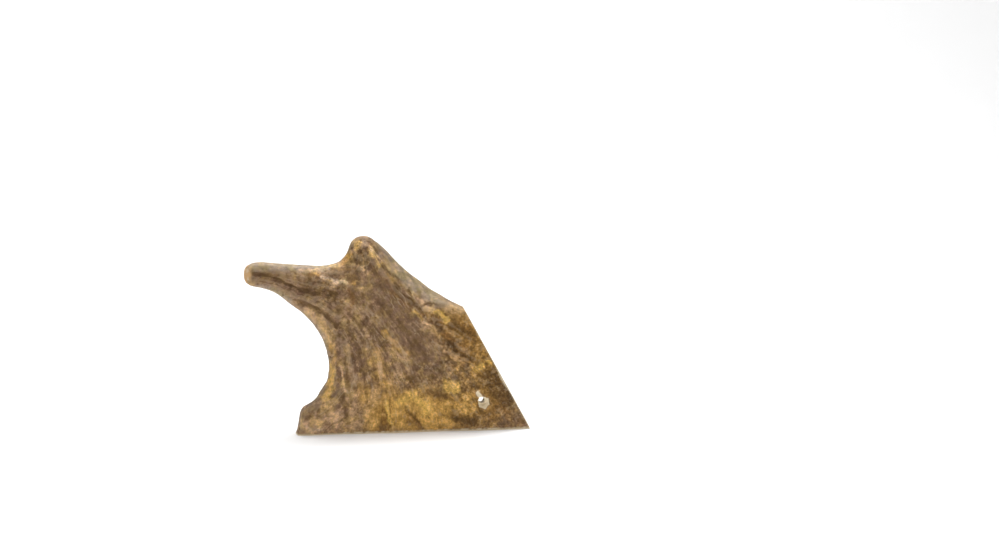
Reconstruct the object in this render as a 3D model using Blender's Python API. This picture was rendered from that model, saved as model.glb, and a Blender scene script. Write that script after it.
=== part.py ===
"""A sawn piece of deer antler: a flat palm that forks into a long tine and a short tine.

Metres, +Z up, front towards -Y. The piece stands on its lower saw cut, with its origin
under the middle of its box. Shapes are drawn in millimetres from the front lower left
corner, as (right, up) on the middle plane of the palm, and are scaled once at the end.
"""

import math
import random

import bmesh
import bpy
import numpy as np
from mathutils import Matrix, Vector, noise

MM = 0.001

# ---- Driving dimensions, in millimetres ----
BLANK_DEPTH = 26.0  # slab that the antler is shaped from
SHAPING_VOXEL = 1.1
NODE_GAP = 0.3  # left between two pieces at a fork
FACE_BUDGET = 11600  # triangles of the shaped blank, before the saw cuts

SAW_CUT_HEIGHT = 0.0
RIGHT_CUT_TOP = (67.9, 48.2)
RIGHT_CUT_FOOT = (94.0, 0.0)
RIGHT_CUT_TURN = 4.0  # degrees that it faces to the front

TIP_WEAR_POINT = (-19.8, -6.1, 63.9)  # right, back, up
TIP_WEAR_FACING = (-0.93, -0.36, 0.04)

# The cord hole, and the chipped crater around its mouth, which the drill left off centre
CORD_HOLE_POINT = (73.7, -8.0, 12.3)
CORD_HOLE_HEADING = (0.102, 0.985, -0.137)
CORD_HOLE_DIAMETER = 2.4
CRATER_POINT = (74.5, -8.0, 11.4)
CRATER_HEADING = (0.06, 0.99, -0.08)
CRATER_DIAMETER = 5.4
CRATER_DEPTH = 2.1
DRILL_REACH = 27.0

# Each fork's line has the palm on its left
LONG_TINE_FORK = ((14.5, 67.5), (4.4, 47.0))
SHORT_TINE_FORK = ((37.2, 71.5), (19.0, 69.9))

# ---- The natural outline, as the uncut antler had it ----
LEFT_RIM = [(-2.3, -13.5), (-0.3, -2.0), (0.8, 6.2), (2.1, 10.4), (5.6, 12.3)]
BAY = [(9.6, 15.5), (12.1, 20.4), (13.1, 26.5), (12.2, 34.6), (9.2, 40.8), (4.3, 47.0)]
TINE_UNDERSIDE = [(-2.0, 51.9), (-7.9, 56.6), (-13.9, 59.1), (-17.8, 60.4)]
TINE_TIP = [(-20.5, 62.2), (-21.3, 64.6), (-20.4, 67.4), (-17.2, 69.1)]
TINE_TOP = [(-10.6, 68.8), (-1.0, 67.7), (8.6, 67.2), (14.2, 67.5), (18.2, 68.6)]
SHORT_TINE = [(20.6, 71.5), (21.9, 74.7), (23.6, 77.3), (26.4, 78.6), (29.5, 78.2)]
FLANK = [(32.8, 76.0), (38.4, 70.5), (44.4, 64.4), (50.5, 59.3), (56.5, 55.2), (62.6, 51.5)]
PAST_THE_CUTS = [(68.4, 48.5), (76.0, 44.6), (94.0, 37.0), (107.0, 24.0), (108.0, 4.0),
                 (98.0, -13.0), (72.0, -16.0), (40.0, -16.0), (14.0, -15.5)]
OUTLINE = (LEFT_RIM + BAY + TINE_UNDERSIDE + TINE_TIP + TINE_TOP + SHORT_TINE + FLANK
           + PAST_THE_CUTS)
CURVE_STEPS = 6

# ---- Thickness, judged at named places ----
# place, half thickness in front and behind, width of the rim in front and behind,
# squareness of the front rim (2 is round, 1 is a flat bevel), lean of the middle backwards
STATIONS = {
    "long tine tip": ((-20.0, 64.2), 3.7, 3.7, 3.8, 3.8, 2.0, -6.1),
    "long tine outer": ((-10.0, 63.2), 4.7, 4.6, 5.2, 5.2, 2.0, -3.0),
    "long tine middle": ((0.0, 60.0), 5.9, 6.0, 7.6, 7.6, 2.0, -1.4),
    "long tine root": ((11.0, 56.0), 7.4, 7.4, 8.6, 9.0, 2.0, -0.4),
    "short tine tip": ((26.5, 76.5), 5.2, 5.4, 6.0, 6.2, 1.8, -0.9),
    "short tine root": ((27.0, 66.0), 7.6, 7.4, 8.0, 8.6, 1.7, -0.2),
    "bay": ((16.0, 30.0), 7.0, 7.0, 6.4, 8.4, 2.0, -0.7),
    "left rim": ((2.0, 1.5), 4.4, 8.4, 0.9, 5.6, 2.0, -3.2),
    "palm middle": ((40.0, 40.0), 8.2, 8.4, 9.5, 11.0, 1.9, 0.7),
    "palm foot": ((42.0, 2.0), 8.8, 8.8, 9.5, 11.0, 2.0, 0.6),
    "upper flank": ((36.0, 68.5), 7.8, 7.8, 6.8, 9.4, 1.2, -0.2),
    "middle flank": ((47.0, 59.0), 8.2, 8.0, 8.4, 9.6, 1.15, 0.0),
    "flank end": ((67.0, 49.0), 7.4, 7.6, 0.9, 3.0, 2.0, -0.4),
    "right side": ((80.0, 26.0), 7.6, 8.0, 8.0, 9.5, 1.8, -0.4),
    "lower right": ((93.0, 4.0), 7.2, 7.6, 8.0, 9.5, 2.0, -0.9),
}
STATION_REACH = 3.0  # how flat the values stay around a station

# ---- Relief: furrows sunk below the surface (depth > 0) and ridges raised on it (< 0) ----
# side (-1 front, 1 back), width, depth, and the line that it follows
FURROWS = {
    "gutter along the long tine": (-1, 1.8, 0.9, [(-20.0, 65.8), (-13.8, 65.0),
        (-9.0, 63.8), (-4.4, 61.0), (1.2, 58.5), (7.0, 57.2), (14.0, 56.6)]),
    "gutter over the bay": (-1, 1.5, 0.8, [(0.0, 54.6), (4.5, 52.4), (8.6, 50.2),
        (12.0, 47.6), (15.2, 44.6), (17.0, 40.5)]),
    "ridge between the gutters": (-1, 1.8, -0.35, [(-6.0, 59.4), (1.0, 56.2),
        (7.5, 53.6), (13.5, 50.6), (18.5, 45.5)]),
    "groove beside the bay": (-1, 1.2, 0.35, [(15.8, 36.0), (17.0, 29.0), (17.6, 21.0),
        (18.6, 14.0), (19.0, 7.0)]),
    "inner groove": (-1, 1.7, 0.4, [(21.0, 42.0), (23.4, 34.0), (25.2, 26.0),
        (27.0, 17.0), (28.0, 6.0)]),
    "rib beside the bay": (-1, 1.9, -0.3, [(19.0, 38.0), (20.4, 29.0), (21.4, 20.0),
        (22.4, 9.0)]),
    "hollow of the palm": (-1, 7.5, 0.8, [(29.0, 62.0), (38.0, 52.0), (46.0, 41.0),
        (53.0, 30.0), (58.0, 20.0)]),
    "trough under the flank": (-1, 2.4, 0.6, [(31.0, 66.5), (38.0, 61.0), (44.5, 54.4),
        (50.0, 47.0), (56.0, 41.0), (63.0, 34.0)]),
    "ledge by the right cut": (-1, 1.7, -0.55, [(44.0, 57.4), (49.2, 51.4), (54.6, 46.2),
        (61.0, 42.0), (68.0, 37.0)]),
    "slot in the right side": (-1, 1.3, 0.8, [(57.5, 31.8), (61.5, 29.0), (66.5, 25.4)]),
    "foot furrow": (-1, 2.0, 0.35, [(34.0, 20.0), (37.0, 12.0), (36.5, 2.0)]),
    "back gutter": (1, 2.2, 0.9, [(-16.0, 64.0), (-7.0, 62.0), (2.0, 58.8), (10.0, 54.0),
        (18.0, 46.5), (24.0, 36.0), (27.0, 24.0)]),
    "back vein": (1, 1.8, 0.7, [(24.0, 71.0), (29.0, 62.0), (36.0, 52.0), (45.0, 40.0),
        (53.0, 26.0), (58.0, 12.0)]),
    "back side vein": (1, 1.7, 0.55, [(40.0, 62.0), (49.0, 52.0), (59.0, 42.0),
        (70.0, 29.0), (79.0, 15.0)]),
    "back rib": (1, 2.6, -0.5, [(22.0, 58.0), (30.0, 47.0), (38.0, 34.0), (43.0, 18.0)]),
}

GRAIN_LINES = 9.0  # ribs and troughs across the palm
GRAIN_LENGTH = 26.0  # how far one runs
GRAIN_HEIGHT = 1.15
LUMP_SIZE = 6.5
LUMP_HEIGHT = 0.3

# Rough patches of small pearls and pits: side, place, reach, count, height, size
ROUGH_PATCHES = {
    "short tine": (-1, (25.8, 71.5), 5.6, 16, 0.45, 1.25),
    "right side": (-1, (70.0, 30.0), 12.5, 26, 0.4, 1.4),
    "foot": (-1, (56.0, 10.0), 12.0, 14, 0.3, 1.6),
    "back of the short tine": (1, (27.0, 70.0), 6.5, 14, 0.4, 1.3),
    "back lower right": (1, (72.0, 20.0), 15.0, 22, 0.35, 1.6),
}
PEARL_SEED = 7

BARK_BROWN = (0.24, 0.15, 0.07, 1.0)
TINE_BROWN = (0.27, 0.19, 0.11, 1.0)
STUB_OCHRE = (0.31, 0.20, 0.09, 1.0)


# ---- Curves and distances ----
def smooth_curve(points, closed, steps=CURVE_STEPS):
    """A Catmull-Rom curve through hand-set points."""
    count = len(points)
    knots = np.array(points, dtype=float)
    spans = count if closed else count - 1
    made = []
    for span in range(spans):
        if closed:
            before, start, end, after = (knots[(span + k) % count] for k in (-1, 0, 1, 2))
        else:
            start, end = knots[span], knots[span + 1]
            before = knots[span - 1] if span else 2 * start - end
            after = knots[span + 2] if span + 2 < count else 2 * end - start
        for step in range(steps):
            t = step / steps
            made.append(0.5 * (2 * start + (end - before) * t
                               + (2 * before - 5 * start + 4 * end - after) * t ** 2
                               + (3 * start - before - 3 * end + after) * t ** 3))
    if not closed:
        made.append(knots[-1])
    return np.array(made)


def nearest_on_line(places, line, closed=False):
    """Distance to a line, side of it (+1 on its right) and how far along the nearest point is."""
    starts = line if closed else line[:-1]
    ends = np.roll(line, -1, axis=0) if closed else line[1:]
    runs = ends - starts
    lengths = np.linalg.norm(runs, axis=1)
    best = np.full(len(places), np.inf)
    right_hand = np.ones(len(places))
    along = np.zeros(len(places))
    reached = 0.0
    for start, run, length in zip(starts, runs, lengths):
        offset = places - start
        t = np.clip(offset @ run / length ** 2, 0.0, 1.0)
        apart = np.linalg.norm(offset - t[:, None] * run, axis=1)
        closer = apart < best - 1e-9
        best[closer] = apart[closer]
        cross = run[1] * offset[:, 0] - run[0] * offset[:, 1]
        right_hand[closer] = np.where(cross[closer] >= 0, 1.0, -1.0)
        along[closer] = (reached + t[closer] * length) / lengths.sum()
        reached += length
    return best, right_hand, along


# ---- The form of the antler ----
def blend_stations(places):
    """The thickness values at each place, mixed from the named stations around it."""
    centres = np.array([station[0] for station in STATIONS.values()])
    values = np.array([station[1:] for station in STATIONS.values()])
    apart = np.linalg.norm(places[:, None, :] - centres[None, :, :], axis=2)
    weights = (apart ** 2 + STATION_REACH ** 2) ** -1.8
    weights /= weights.sum(axis=1, keepdims=True)
    return weights @ values


def form_value(points, outline):
    """Zero on the antler's surface, positive outside it and negative within."""
    places = points[:, [0, 2]]
    front, behind, rim_front, rim_behind, squareness, lean = blend_stations(places).T
    apart, inside, _ = nearest_on_line(places, outline, closed=True)
    depth = apart * inside
    from_middle = points[:, 1] - lean
    in_front = from_middle < 0
    thickness = np.where(in_front, front, behind)
    rim = np.where(in_front, rim_front, rim_behind)
    power = np.where(in_front, squareness, 2.0)
    across = np.abs(from_middle) / thickness
    outward = np.maximum(0.0, 1.0 - depth / rim)
    return (across ** power + outward ** power) ** (1.0 / power) - 1.0


def pull_to_form(points, outline, reach=1.5, probe=0.02):
    """One Newton step of every point towards the antler's surface."""
    value = form_value(points, outline)
    slope = np.zeros_like(points)
    for axis in range(3):
        moved = points.copy()
        moved[:, axis] += probe
        slope[:, axis] = (form_value(moved, outline) - value) / probe
    steepness = np.maximum((slope ** 2).sum(axis=1), 1e-4)
    step = -value[:, None] * slope / steepness[:, None]
    length = np.linalg.norm(step, axis=1, keepdims=True)
    return points + step * np.minimum(1.0, reach / np.maximum(length, 1e-9))


def relax(points, edges, amount):
    """Move each point towards the middle of its neighbours."""
    total = np.zeros_like(points)
    count = np.zeros(len(points))
    for one, other in ((0, 1), (1, 0)):
        np.add.at(total, edges[:, one], points[edges[:, other]])
        np.add.at(count, edges[:, one], 1.0)
    return points + amount * (total / count[:, None] - points)


# ---- Relief ----
def growth_lines(places):
    """How far across the growth lines a place is: 0 at the bay, 1 at the flank."""
    low = smooth_curve(LEFT_RIM + BAY + TINE_UNDERSIDE, False)
    high = smooth_curve(TINE_TOP + SHORT_TINE + FLANK + PAST_THE_CUTS[:3], False)
    from_low = nearest_on_line(places, low)[0]
    from_high = nearest_on_line(places, high)[0]
    return from_low / np.maximum(from_low + from_high, 1e-6)


def furrow_relief(places, side_weight):
    height = np.zeros(len(places))
    for side, width, depth, points in FURROWS.values():
        line = smooth_curve(points, False)
        apart, _, along = nearest_on_line(places, line)
        fade = np.sin(math.pi * np.clip(along, 0.03, 0.97)) ** 0.35
        weight = side_weight[side]
        height -= depth * fade * np.exp(-(apart / width) ** 2) * weight
    return height


def pearl_relief(places, side_weight):
    """Small raised pearls and sunk pits, scattered with a fixed seed."""
    dice = random.Random(PEARL_SEED)
    height = np.zeros(len(places))
    for side, centre, reach, count, tallest, size in ROUGH_PATCHES.values():
        for index in range(count):
            angle = dice.uniform(0, 2 * math.pi)
            distance = reach * math.sqrt(dice.random())
            spot = (centre[0] + distance * math.cos(angle),
                    centre[1] + distance * math.sin(angle))
            rise = tallest * dice.uniform(0.6, 1.0) * (1 if index % 3 else -1)
            apart = np.linalg.norm(places - spot, axis=1)
            width = size * dice.uniform(0.8, 1.2)
            height += rise * np.exp(-(apart / width) ** 2) * side_weight[side]
    return height


def grain_relief(points):
    """Long ribs and troughs along the growth lines, and low lumps over everything."""
    places = points[:, [0, 2]]
    across = growth_lines(places)
    from_tip = np.linalg.norm(places - np.array(TINE_TIP[1]), axis=1)
    palm = np.clip((from_tip - 14.0) / 24.0, 0.12, 1.0)
    made = np.zeros(len(points))
    for index, (x, y, z) in enumerate(points):
        behind = 40.0 if y > 0 else 0.0
        rib = noise.noise(Vector((across[index] * GRAIN_LINES, from_tip[index] / GRAIN_LENGTH,
                                  behind)))
        lump = noise.noise(Vector((x, y, z)) / LUMP_SIZE)
        made[index] = palm[index] * GRAIN_HEIGHT * rib
        made[index] += (0.35 + 0.65 * palm[index]) * LUMP_HEIGHT * lump
    return made


# ---- Making the mesh ----
def clear_scene():
    for item in list(bpy.data.objects):
        bpy.data.objects.remove(item, do_unlink=True)


def add_object(name, mesh):
    made = bpy.data.objects.new(name, mesh)
    bpy.context.scene.collection.objects.link(made)
    return made


def evaluated_copy(item, name):
    """The mesh as its modifiers leave it, as a new mesh. The object goes away."""
    bpy.context.view_layer.update()
    graph = bpy.context.evaluated_depsgraph_get()
    mesh = bpy.data.meshes.new_from_object(item.evaluated_get(graph))
    mesh.name = name
    bpy.data.objects.remove(item, do_unlink=True)
    return mesh


def slab_mesh(outline):
    """The outline as a flat slab, standing on edge."""
    shape = bmesh.new()
    corners = [shape.verts.new((x, -BLANK_DEPTH / 2, z)) for x, z in outline]
    face = shape.faces.new(corners)
    grown = bmesh.ops.extrude_face_region(shape, geom=[face])
    far_corners = [part for part in grown["geom"] if isinstance(part, bmesh.types.BMVert)]
    bmesh.ops.translate(shape, verts=far_corners, vec=(0, BLANK_DEPTH, 0))
    bmesh.ops.recalc_face_normals(shape, faces=shape.faces)
    mesh = bpy.data.meshes.new("slab")
    shape.to_mesh(mesh)
    shape.free()
    return mesh


def voxel_blank(outline):
    slab = add_object("slab", slab_mesh(outline))
    even = slab.modifiers.new("even faces", "REMESH")
    even.mode = "VOXEL"
    even.voxel_size = SHAPING_VOXEL
    return evaluated_copy(slab, "blank")


def shape_blank(mesh, outline):
    """Draw the blank onto the antler's form, then raise its relief."""
    points = np.empty(len(mesh.vertices) * 3)
    mesh.vertices.foreach_get("co", points)
    points = points.reshape(-1, 3)
    edges = np.empty(len(mesh.edges) * 2, dtype=int)
    mesh.edges.foreach_get("vertices", edges)
    edges = edges.reshape(-1, 2)
    for _ in range(14):
        points = relax(points, edges, 0.6)
        points = pull_to_form(points, outline)
    for _ in range(3):
        points = relax(points, edges, 0.5)
    points = pull_to_form(points, outline)
    points = relax(points, edges, 0.5)
    write_points(mesh, points)
    facing = np.empty(len(mesh.vertices) * 3)
    mesh.vertices.foreach_get("normal", facing)
    facing = facing.reshape(-1, 3)
    side_weight = {side: np.clip((facing[:, 1] * side - 0.1) / 0.5, 0, 1) for side in (-1, 1)}
    places = points[:, [0, 2]]
    height = (grain_relief(points) + furrow_relief(places, side_weight)
              + pearl_relief(places, side_weight))
    write_points(mesh, points + facing * height[:, None])


def write_points(mesh, points):
    mesh.vertices.foreach_set("co", points.ravel())
    mesh.update()


def lighten(mesh):
    """Fewer faces where the surface is plain."""
    shaped = add_object("shaped", mesh)
    fewer = shaped.modifiers.new("fewer faces", "DECIMATE")
    mesh.calc_loop_triangles()
    fewer.ratio = min(1.0, FACE_BUDGET / len(mesh.loop_triangles))
    return evaluated_copy(shaped, "lightened")


# ---- Cuts ----
def cut_away(shape, point, facing):
    """Saw off what lies past a plane, on the side it faces, and close the cut."""
    everything = list(shape.verts) + list(shape.edges) + list(shape.faces)
    cut = bmesh.ops.bisect_plane(shape, geom=everything, plane_co=point, plane_no=facing,
                                 dist=0.0001, clear_outer=True)
    rim = [part for part in cut["geom_cut"] if isinstance(part, bmesh.types.BMEdge)]
    bmesh.ops.holes_fill(shape, edges=rim, sides=0)


def tidy_faces(shape):
    bmesh.ops.dissolve_degenerate(shape, dist=0.02, edges=shape.edges)
    bmesh.ops.triangulate(shape, faces=shape.faces)
    bmesh.ops.recalc_face_normals(shape, faces=shape.faces)


def line_plane(line):
    """A point on the upright plane through a drawn line, and the way to the line's left."""
    (x0, z0), (x1, z1) = line
    facing = Vector((z0 - z1, 0.0, x1 - x0)).normalized()
    return Vector((x0, 0.0, z0)), facing


def sawn_antler(mesh):
    """The whole piece, sawn at its foot and its right side, with its tip worn flat."""
    shape = bmesh.new()
    shape.from_mesh(mesh)
    cut_away(shape, (0, 0, SAW_CUT_HEIGHT), (0, 0, -1))
    right_point, away = line_plane((RIGHT_CUT_TOP, RIGHT_CUT_FOOT))
    away.rotate(Matrix.Rotation(-math.radians(RIGHT_CUT_TURN), 3, "Z"))
    cut_away(shape, right_point, away)
    cut_away(shape, TIP_WEAR_POINT, TIP_WEAR_FACING)
    tidy_faces(shape)
    made = bpy.data.meshes.new("sawn")
    shape.to_mesh(made)
    shape.free()
    return made


def piece_mesh(mesh, name, planes):
    """What is left of the whole inside a set of planes."""
    shape = bmesh.new()
    shape.from_mesh(mesh)
    for point, facing in planes:
        cut_away(shape, point, facing)
    tidy_faces(shape)
    made = bpy.data.meshes.new(name)
    shape.to_mesh(made)
    shape.free()
    return made


def turned_cutter(name, rings, point, heading, sides=16):
    """A turned drill or countersink: rings of (distance along, radius) about a line."""
    shape = bmesh.new()
    turns = [2 * math.pi * k / sides for k in range(sides)]
    loops = [[shape.verts.new((radius * math.cos(turn), radius * math.sin(turn), along))
              for turn in turns] for along, radius in rings]
    for lower, upper in zip(loops, loops[1:]):
        for k in range(sides):
            beside = (k + 1) % sides
            shape.faces.new((lower[k], lower[beside], upper[beside], upper[k]))
    shape.faces.new(list(reversed(loops[0])))
    shape.faces.new(loops[-1])
    turned = Vector(heading).to_track_quat("Z", "Y").to_matrix().to_4x4()
    shape.transform(Matrix.Translation(point) @ turned)
    bmesh.ops.recalc_face_normals(shape, faces=shape.faces)
    mesh = bpy.data.meshes.new(name)
    shape.to_mesh(mesh)
    shape.free()
    cutter = add_object(name, mesh)
    cutter.hide_render = True
    cutter.display_type = "WIRE"
    return cutter


def drill(mesh):
    """The cord hole through the lower right of the palm, and the crater at its mouth."""
    radius = CORD_HOLE_DIAMETER / 2
    bit = turned_cutter("cord_hole_cutter", [(-4.0, radius), (DRILL_REACH, radius)],
                        CORD_HOLE_POINT, CORD_HOLE_HEADING)
    slope = CRATER_DIAMETER / 2 / CRATER_DEPTH
    crater = turned_cutter("crater_cutter", [(-2.0, slope * (CRATER_DEPTH + 2.0)),
                                             (CRATER_DEPTH * 0.8, slope * CRATER_DEPTH * 0.2)],
                           CRATER_POINT, CRATER_HEADING, sides=14)
    solid = add_object("drilled", mesh)
    for cutter in (bit, crater):
        cut = solid.modifiers.new(cutter.name, "BOOLEAN")
        cut.operation = "DIFFERENCE"
        cut.solver = "EXACT"
        cut.object = cutter
    drilled = evaluated_copy(solid, "drilled")
    bpy.data.objects.remove(bit, do_unlink=True)
    bpy.data.objects.remove(crater, do_unlink=True)
    return drilled


# ---- Finishing ----
def bark_material(name, colour, roughness):
    material = bpy.data.materials.new(name)
    material.use_nodes = True
    shader = material.node_tree.nodes["Principled BSDF"]
    shader.inputs["Base Color"].default_value = colour
    shader.inputs["Roughness"].default_value = roughness
    shader.inputs["Metallic"].default_value = 0.0
    return material


def finish_piece(name, mesh, shift, material):
    """Real size, origin under the middle of the whole piece, smooth shading."""
    mesh.name = name
    mesh.transform(Matrix.Scale(MM, 4) @ Matrix.Translation(shift))
    mesh.materials.clear()
    mesh.materials.append(material)
    mesh.shade_smooth()
    mesh.set_sharp_from_angle(angle=math.radians(35))
    return add_object(name, mesh)


def middle_of_foot(mesh):
    """The point under the middle of the mesh's box, at its lowest height."""
    points = np.empty(len(mesh.vertices) * 3)
    mesh.vertices.foreach_get("co", points)
    points = points.reshape(-1, 3)
    low, high = points.min(axis=0), points.max(axis=0)
    return Vector(((low[0] + high[0]) / 2, (low[1] + high[1]) / 2, low[2]))


def fork_planes(line):
    """The palm's side and the tine's side of one fork, with the gap between them."""
    point, facing = line_plane(line)
    half = facing * NODE_GAP / 2
    palm_side = (point + half, -facing)
    tine_side = (point - half, facing)
    return palm_side, tine_side


def build():
    clear_scene()
    outline = smooth_curve(OUTLINE, True)
    blank = voxel_blank(outline)
    shape_blank(blank, outline)
    whole = sawn_antler(lighten(blank))
    shift = -middle_of_foot(whole)
    palm_at_long, long_side = fork_planes(LONG_TINE_FORK)
    palm_at_short, short_side = fork_planes(SHORT_TINE_FORK)
    palm = drill(piece_mesh(whole, "palm", [palm_at_long, palm_at_short]))
    long_tine = piece_mesh(whole, "long_tine", [long_side])
    short_tine = piece_mesh(whole, "short_tine", [palm_at_long, short_side])
    finish_piece("palm", palm, shift, bark_material("palm bark", BARK_BROWN, 0.62))
    finish_piece("long_tine", long_tine, shift, bark_material("tine bark", TINE_BROWN, 0.55))
    finish_piece("short_tine", short_tine, shift, bark_material("stub bark", STUB_OCHRE, 0.6))


build()
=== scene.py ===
import math
import random

import bmesh
import bpy
import numpy as np
from mathutils import Matrix, Vector, geometry, noise
from mathutils.kdtree import KDTree


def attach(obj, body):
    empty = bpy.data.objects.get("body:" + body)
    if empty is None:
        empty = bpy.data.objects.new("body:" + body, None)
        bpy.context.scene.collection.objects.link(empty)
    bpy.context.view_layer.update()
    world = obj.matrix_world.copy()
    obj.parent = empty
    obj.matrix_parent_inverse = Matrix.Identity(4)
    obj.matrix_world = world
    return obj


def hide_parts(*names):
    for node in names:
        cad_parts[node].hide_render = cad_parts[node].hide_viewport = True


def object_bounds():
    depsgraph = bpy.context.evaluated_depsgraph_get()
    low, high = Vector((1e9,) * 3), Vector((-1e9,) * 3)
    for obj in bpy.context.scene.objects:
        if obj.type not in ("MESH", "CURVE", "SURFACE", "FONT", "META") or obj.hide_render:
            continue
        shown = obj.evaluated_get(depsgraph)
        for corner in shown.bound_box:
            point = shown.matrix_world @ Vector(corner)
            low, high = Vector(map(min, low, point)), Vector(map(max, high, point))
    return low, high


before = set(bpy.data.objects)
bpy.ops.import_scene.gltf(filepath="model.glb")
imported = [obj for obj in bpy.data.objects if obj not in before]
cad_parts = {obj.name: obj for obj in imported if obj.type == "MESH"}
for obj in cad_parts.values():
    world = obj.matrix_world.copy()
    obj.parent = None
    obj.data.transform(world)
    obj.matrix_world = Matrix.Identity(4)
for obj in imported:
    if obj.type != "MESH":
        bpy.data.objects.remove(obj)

solid_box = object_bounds()

# ---- The grown bone ----
# One piece of palmate antler: a flat palm that forks into a long tine and a short tine.
# It grew in one season under velvet, so the forks have no seams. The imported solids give
# its form, and here they are joined again and given an even skin that can be carved.

MM = 0.001
RIGHT_CUT_TOP = (67.9, 48.2)  # drawn places are (right, up) in mm from the lower left corner
RIGHT_CUT_FOOT = (94.0, 0.0)
RIGHT_CUT_TURN = 4.0
LONG_TINE_FORK = ((14.5, 67.5), (4.4, 47.0))
SHORT_TINE_FORK = ((37.2, 71.5), (19.0, 69.9))
HOLE_MOUTH = Vector((73.7, -8.0, 12.3))
HOLE_HEADING = Vector((0.102, 0.985, -0.137)).normalized()
CRATER_MOUTH = Vector((74.5, -8.0, 11.4))
CRATER_REACH = 3.1
SKIN_GRID = 0.46
FORK_LAP = 0.24
SAW_SPARE = 3.0
SAME_WAY = 0.9999  # the least dot product of two ways that count as one
ABOUT_SAME_WAY = 0.99
FLAT_CUT_REACH = 0.25


def line_plane(line):
    """A point on the upright plane through a drawn line, and the way to the line's left."""
    (x0, z0), (x1, z1) = line
    facing = Vector((z0 - z1, 0.0, x1 - x0)).normalized()
    return Vector((x0, 0.0, z0)), facing


right_point, past_right_cut = line_plane((RIGHT_CUT_TOP, RIGHT_CUT_FOOT))
past_right_cut.rotate(Matrix.Rotation(-math.radians(RIGHT_CUT_TURN), 3, "Z"))
cut_face = max((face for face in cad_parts["palm"].data.polygons
                if face.normal.dot(past_right_cut) > SAME_WAY), key=lambda face: face.area)
DRAWING_LEFT = (cut_face.center / MM - right_point).dot(past_right_cut) / past_right_cut.x


def draw_out(shape, faces, way):
    """Move some faces of a solid outwards and wall in the sides behind them."""
    grown = bmesh.ops.extrude_face_region(shape, geom=faces)
    moved = [part for part in grown["geom"] if isinstance(part, bmesh.types.BMVert)]
    bmesh.ops.translate(shape, verts=moved, vec=way)


def grow_flat(shape, point, facing, way):
    """Lengthen a solid past one of its flat cuts."""
    flat = [face for face in shape.faces if face.normal.dot(facing) > ABOUT_SAME_WAY
            and abs((face.calc_center_median() - point).dot(facing)) < FLAT_CUT_REACH]
    draw_out(shape, flat, way)
    shape.normal_update()


def fill_drilling(shape):
    """Close the drilled hole and the crater at its mouth, which are cut again later."""
    def off_axis(point):
        offset = point - CRATER_MOUTH
        return (offset - HOLE_HEADING * offset.dot(HOLE_HEADING)).length

    walls = [face for face in shape.faces
             if all(off_axis(vert.co) < CRATER_REACH for vert in face.verts)]
    bmesh.ops.delete(shape, geom=walls, context="FACES")
    open_edges = [edge for edge in shape.edges if edge.is_boundary]
    bmesh.ops.holes_fill(shape, edges=open_edges, sides=0)
    bmesh.ops.triangulate(shape, faces=shape.faces)


def drawn_solid(name):
    """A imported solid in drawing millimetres."""
    shape = bmesh.new()
    shape.from_mesh(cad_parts[name].data)
    bmesh.ops.remove_doubles(shape, verts=shape.verts, dist=1e-6)
    shape.transform(Matrix.Translation((-DRAWING_LEFT, 0, 0)) @ Matrix.Scale(1 / MM, 4))
    bmesh.ops.triangulate(shape, faces=shape.faces)
    return shape


def to_mesh(name, shape):
    """A mesh made of the shape, which is used up."""
    mesh = bpy.data.meshes.new(name)
    shape.to_mesh(mesh)
    shape.free()
    return mesh


def apply_modifiers(item):
    """The item's mesh as its modifiers leave it."""
    bpy.context.view_layer.update()
    graph = bpy.context.evaluated_depsgraph_get()
    mesh = bpy.data.meshes.new_from_object(item.evaluated_get(graph))
    bpy.data.objects.remove(item, do_unlink=True)
    return mesh


def loose_object(name, data):
    item = bpy.data.objects.new(name, data)
    bpy.context.scene.collection.objects.link(item)
    return item


long_point, to_palm_from_long = line_plane(LONG_TINE_FORK)
short_point, to_palm_from_short = line_plane(SHORT_TINE_FORK)
DOWN = Vector((0, 0, -1))

palm = drawn_solid("palm")
grow_flat(palm, long_point, -to_palm_from_long, -to_palm_from_long * FORK_LAP)
grow_flat(palm, short_point, -to_palm_from_short, -to_palm_from_short * FORK_LAP)
fill_drilling(palm)
grow_flat(palm, right_point, past_right_cut, Vector((2 * SAW_SPARE, 0, 0)))
grow_flat(palm, Vector((0, 0, 0)), DOWN, DOWN * SAW_SPARE)
long_tine = drawn_solid("long_tine")
grow_flat(long_tine, long_point, to_palm_from_long, to_palm_from_long * FORK_LAP)
short_tine = drawn_solid("short_tine")
grow_flat(short_tine, short_point, to_palm_from_short, to_palm_from_short * FORK_LAP)

joined = bmesh.new()
for grown_part in (palm, long_tine, short_tine):
    joined.from_mesh(to_mesh("grown part", grown_part))
blank = loose_object("blank", to_mesh("blank", joined))
skin = blank.modifiers.new("even skin", "REMESH")
skin.mode = "VOXEL"
skin.voxel_size = SKIN_GRID
blank_mesh = apply_modifiers(blank)


EVEN_ROUNDS = 10
EVEN_INWARDS = 0.5
EVEN_OUTWARDS = 0.52


def read_vectors(mesh, what):
    """The place ("co") or the facing ("normal") of every point of a mesh."""
    values = np.empty(len(mesh.vertices) * 3)
    mesh.vertices.foreach_get(what, values)
    return values.reshape(-1, 3)


def write_points(mesh, points):
    mesh.vertices.foreach_set("co", points.ravel())
    mesh.update()


def neighbour_mean(values, edges):
    """Each point's mean over the points that it shares an edge with."""
    values = np.asarray(values, dtype=float)
    flat = values.reshape(len(values), -1)
    ends = np.concatenate([edges[:, 0], edges[:, 1]])
    other_ends = np.concatenate([edges[:, 1], edges[:, 0]])
    count = np.maximum(np.bincount(ends, minlength=len(values)), 1)
    sums = [np.bincount(ends, weights=flat[other_ends, k], minlength=len(values))
            for k in range(flat.shape[1])]
    return (np.stack(sums, axis=1) / count[:, None]).reshape(values.shape)


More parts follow.
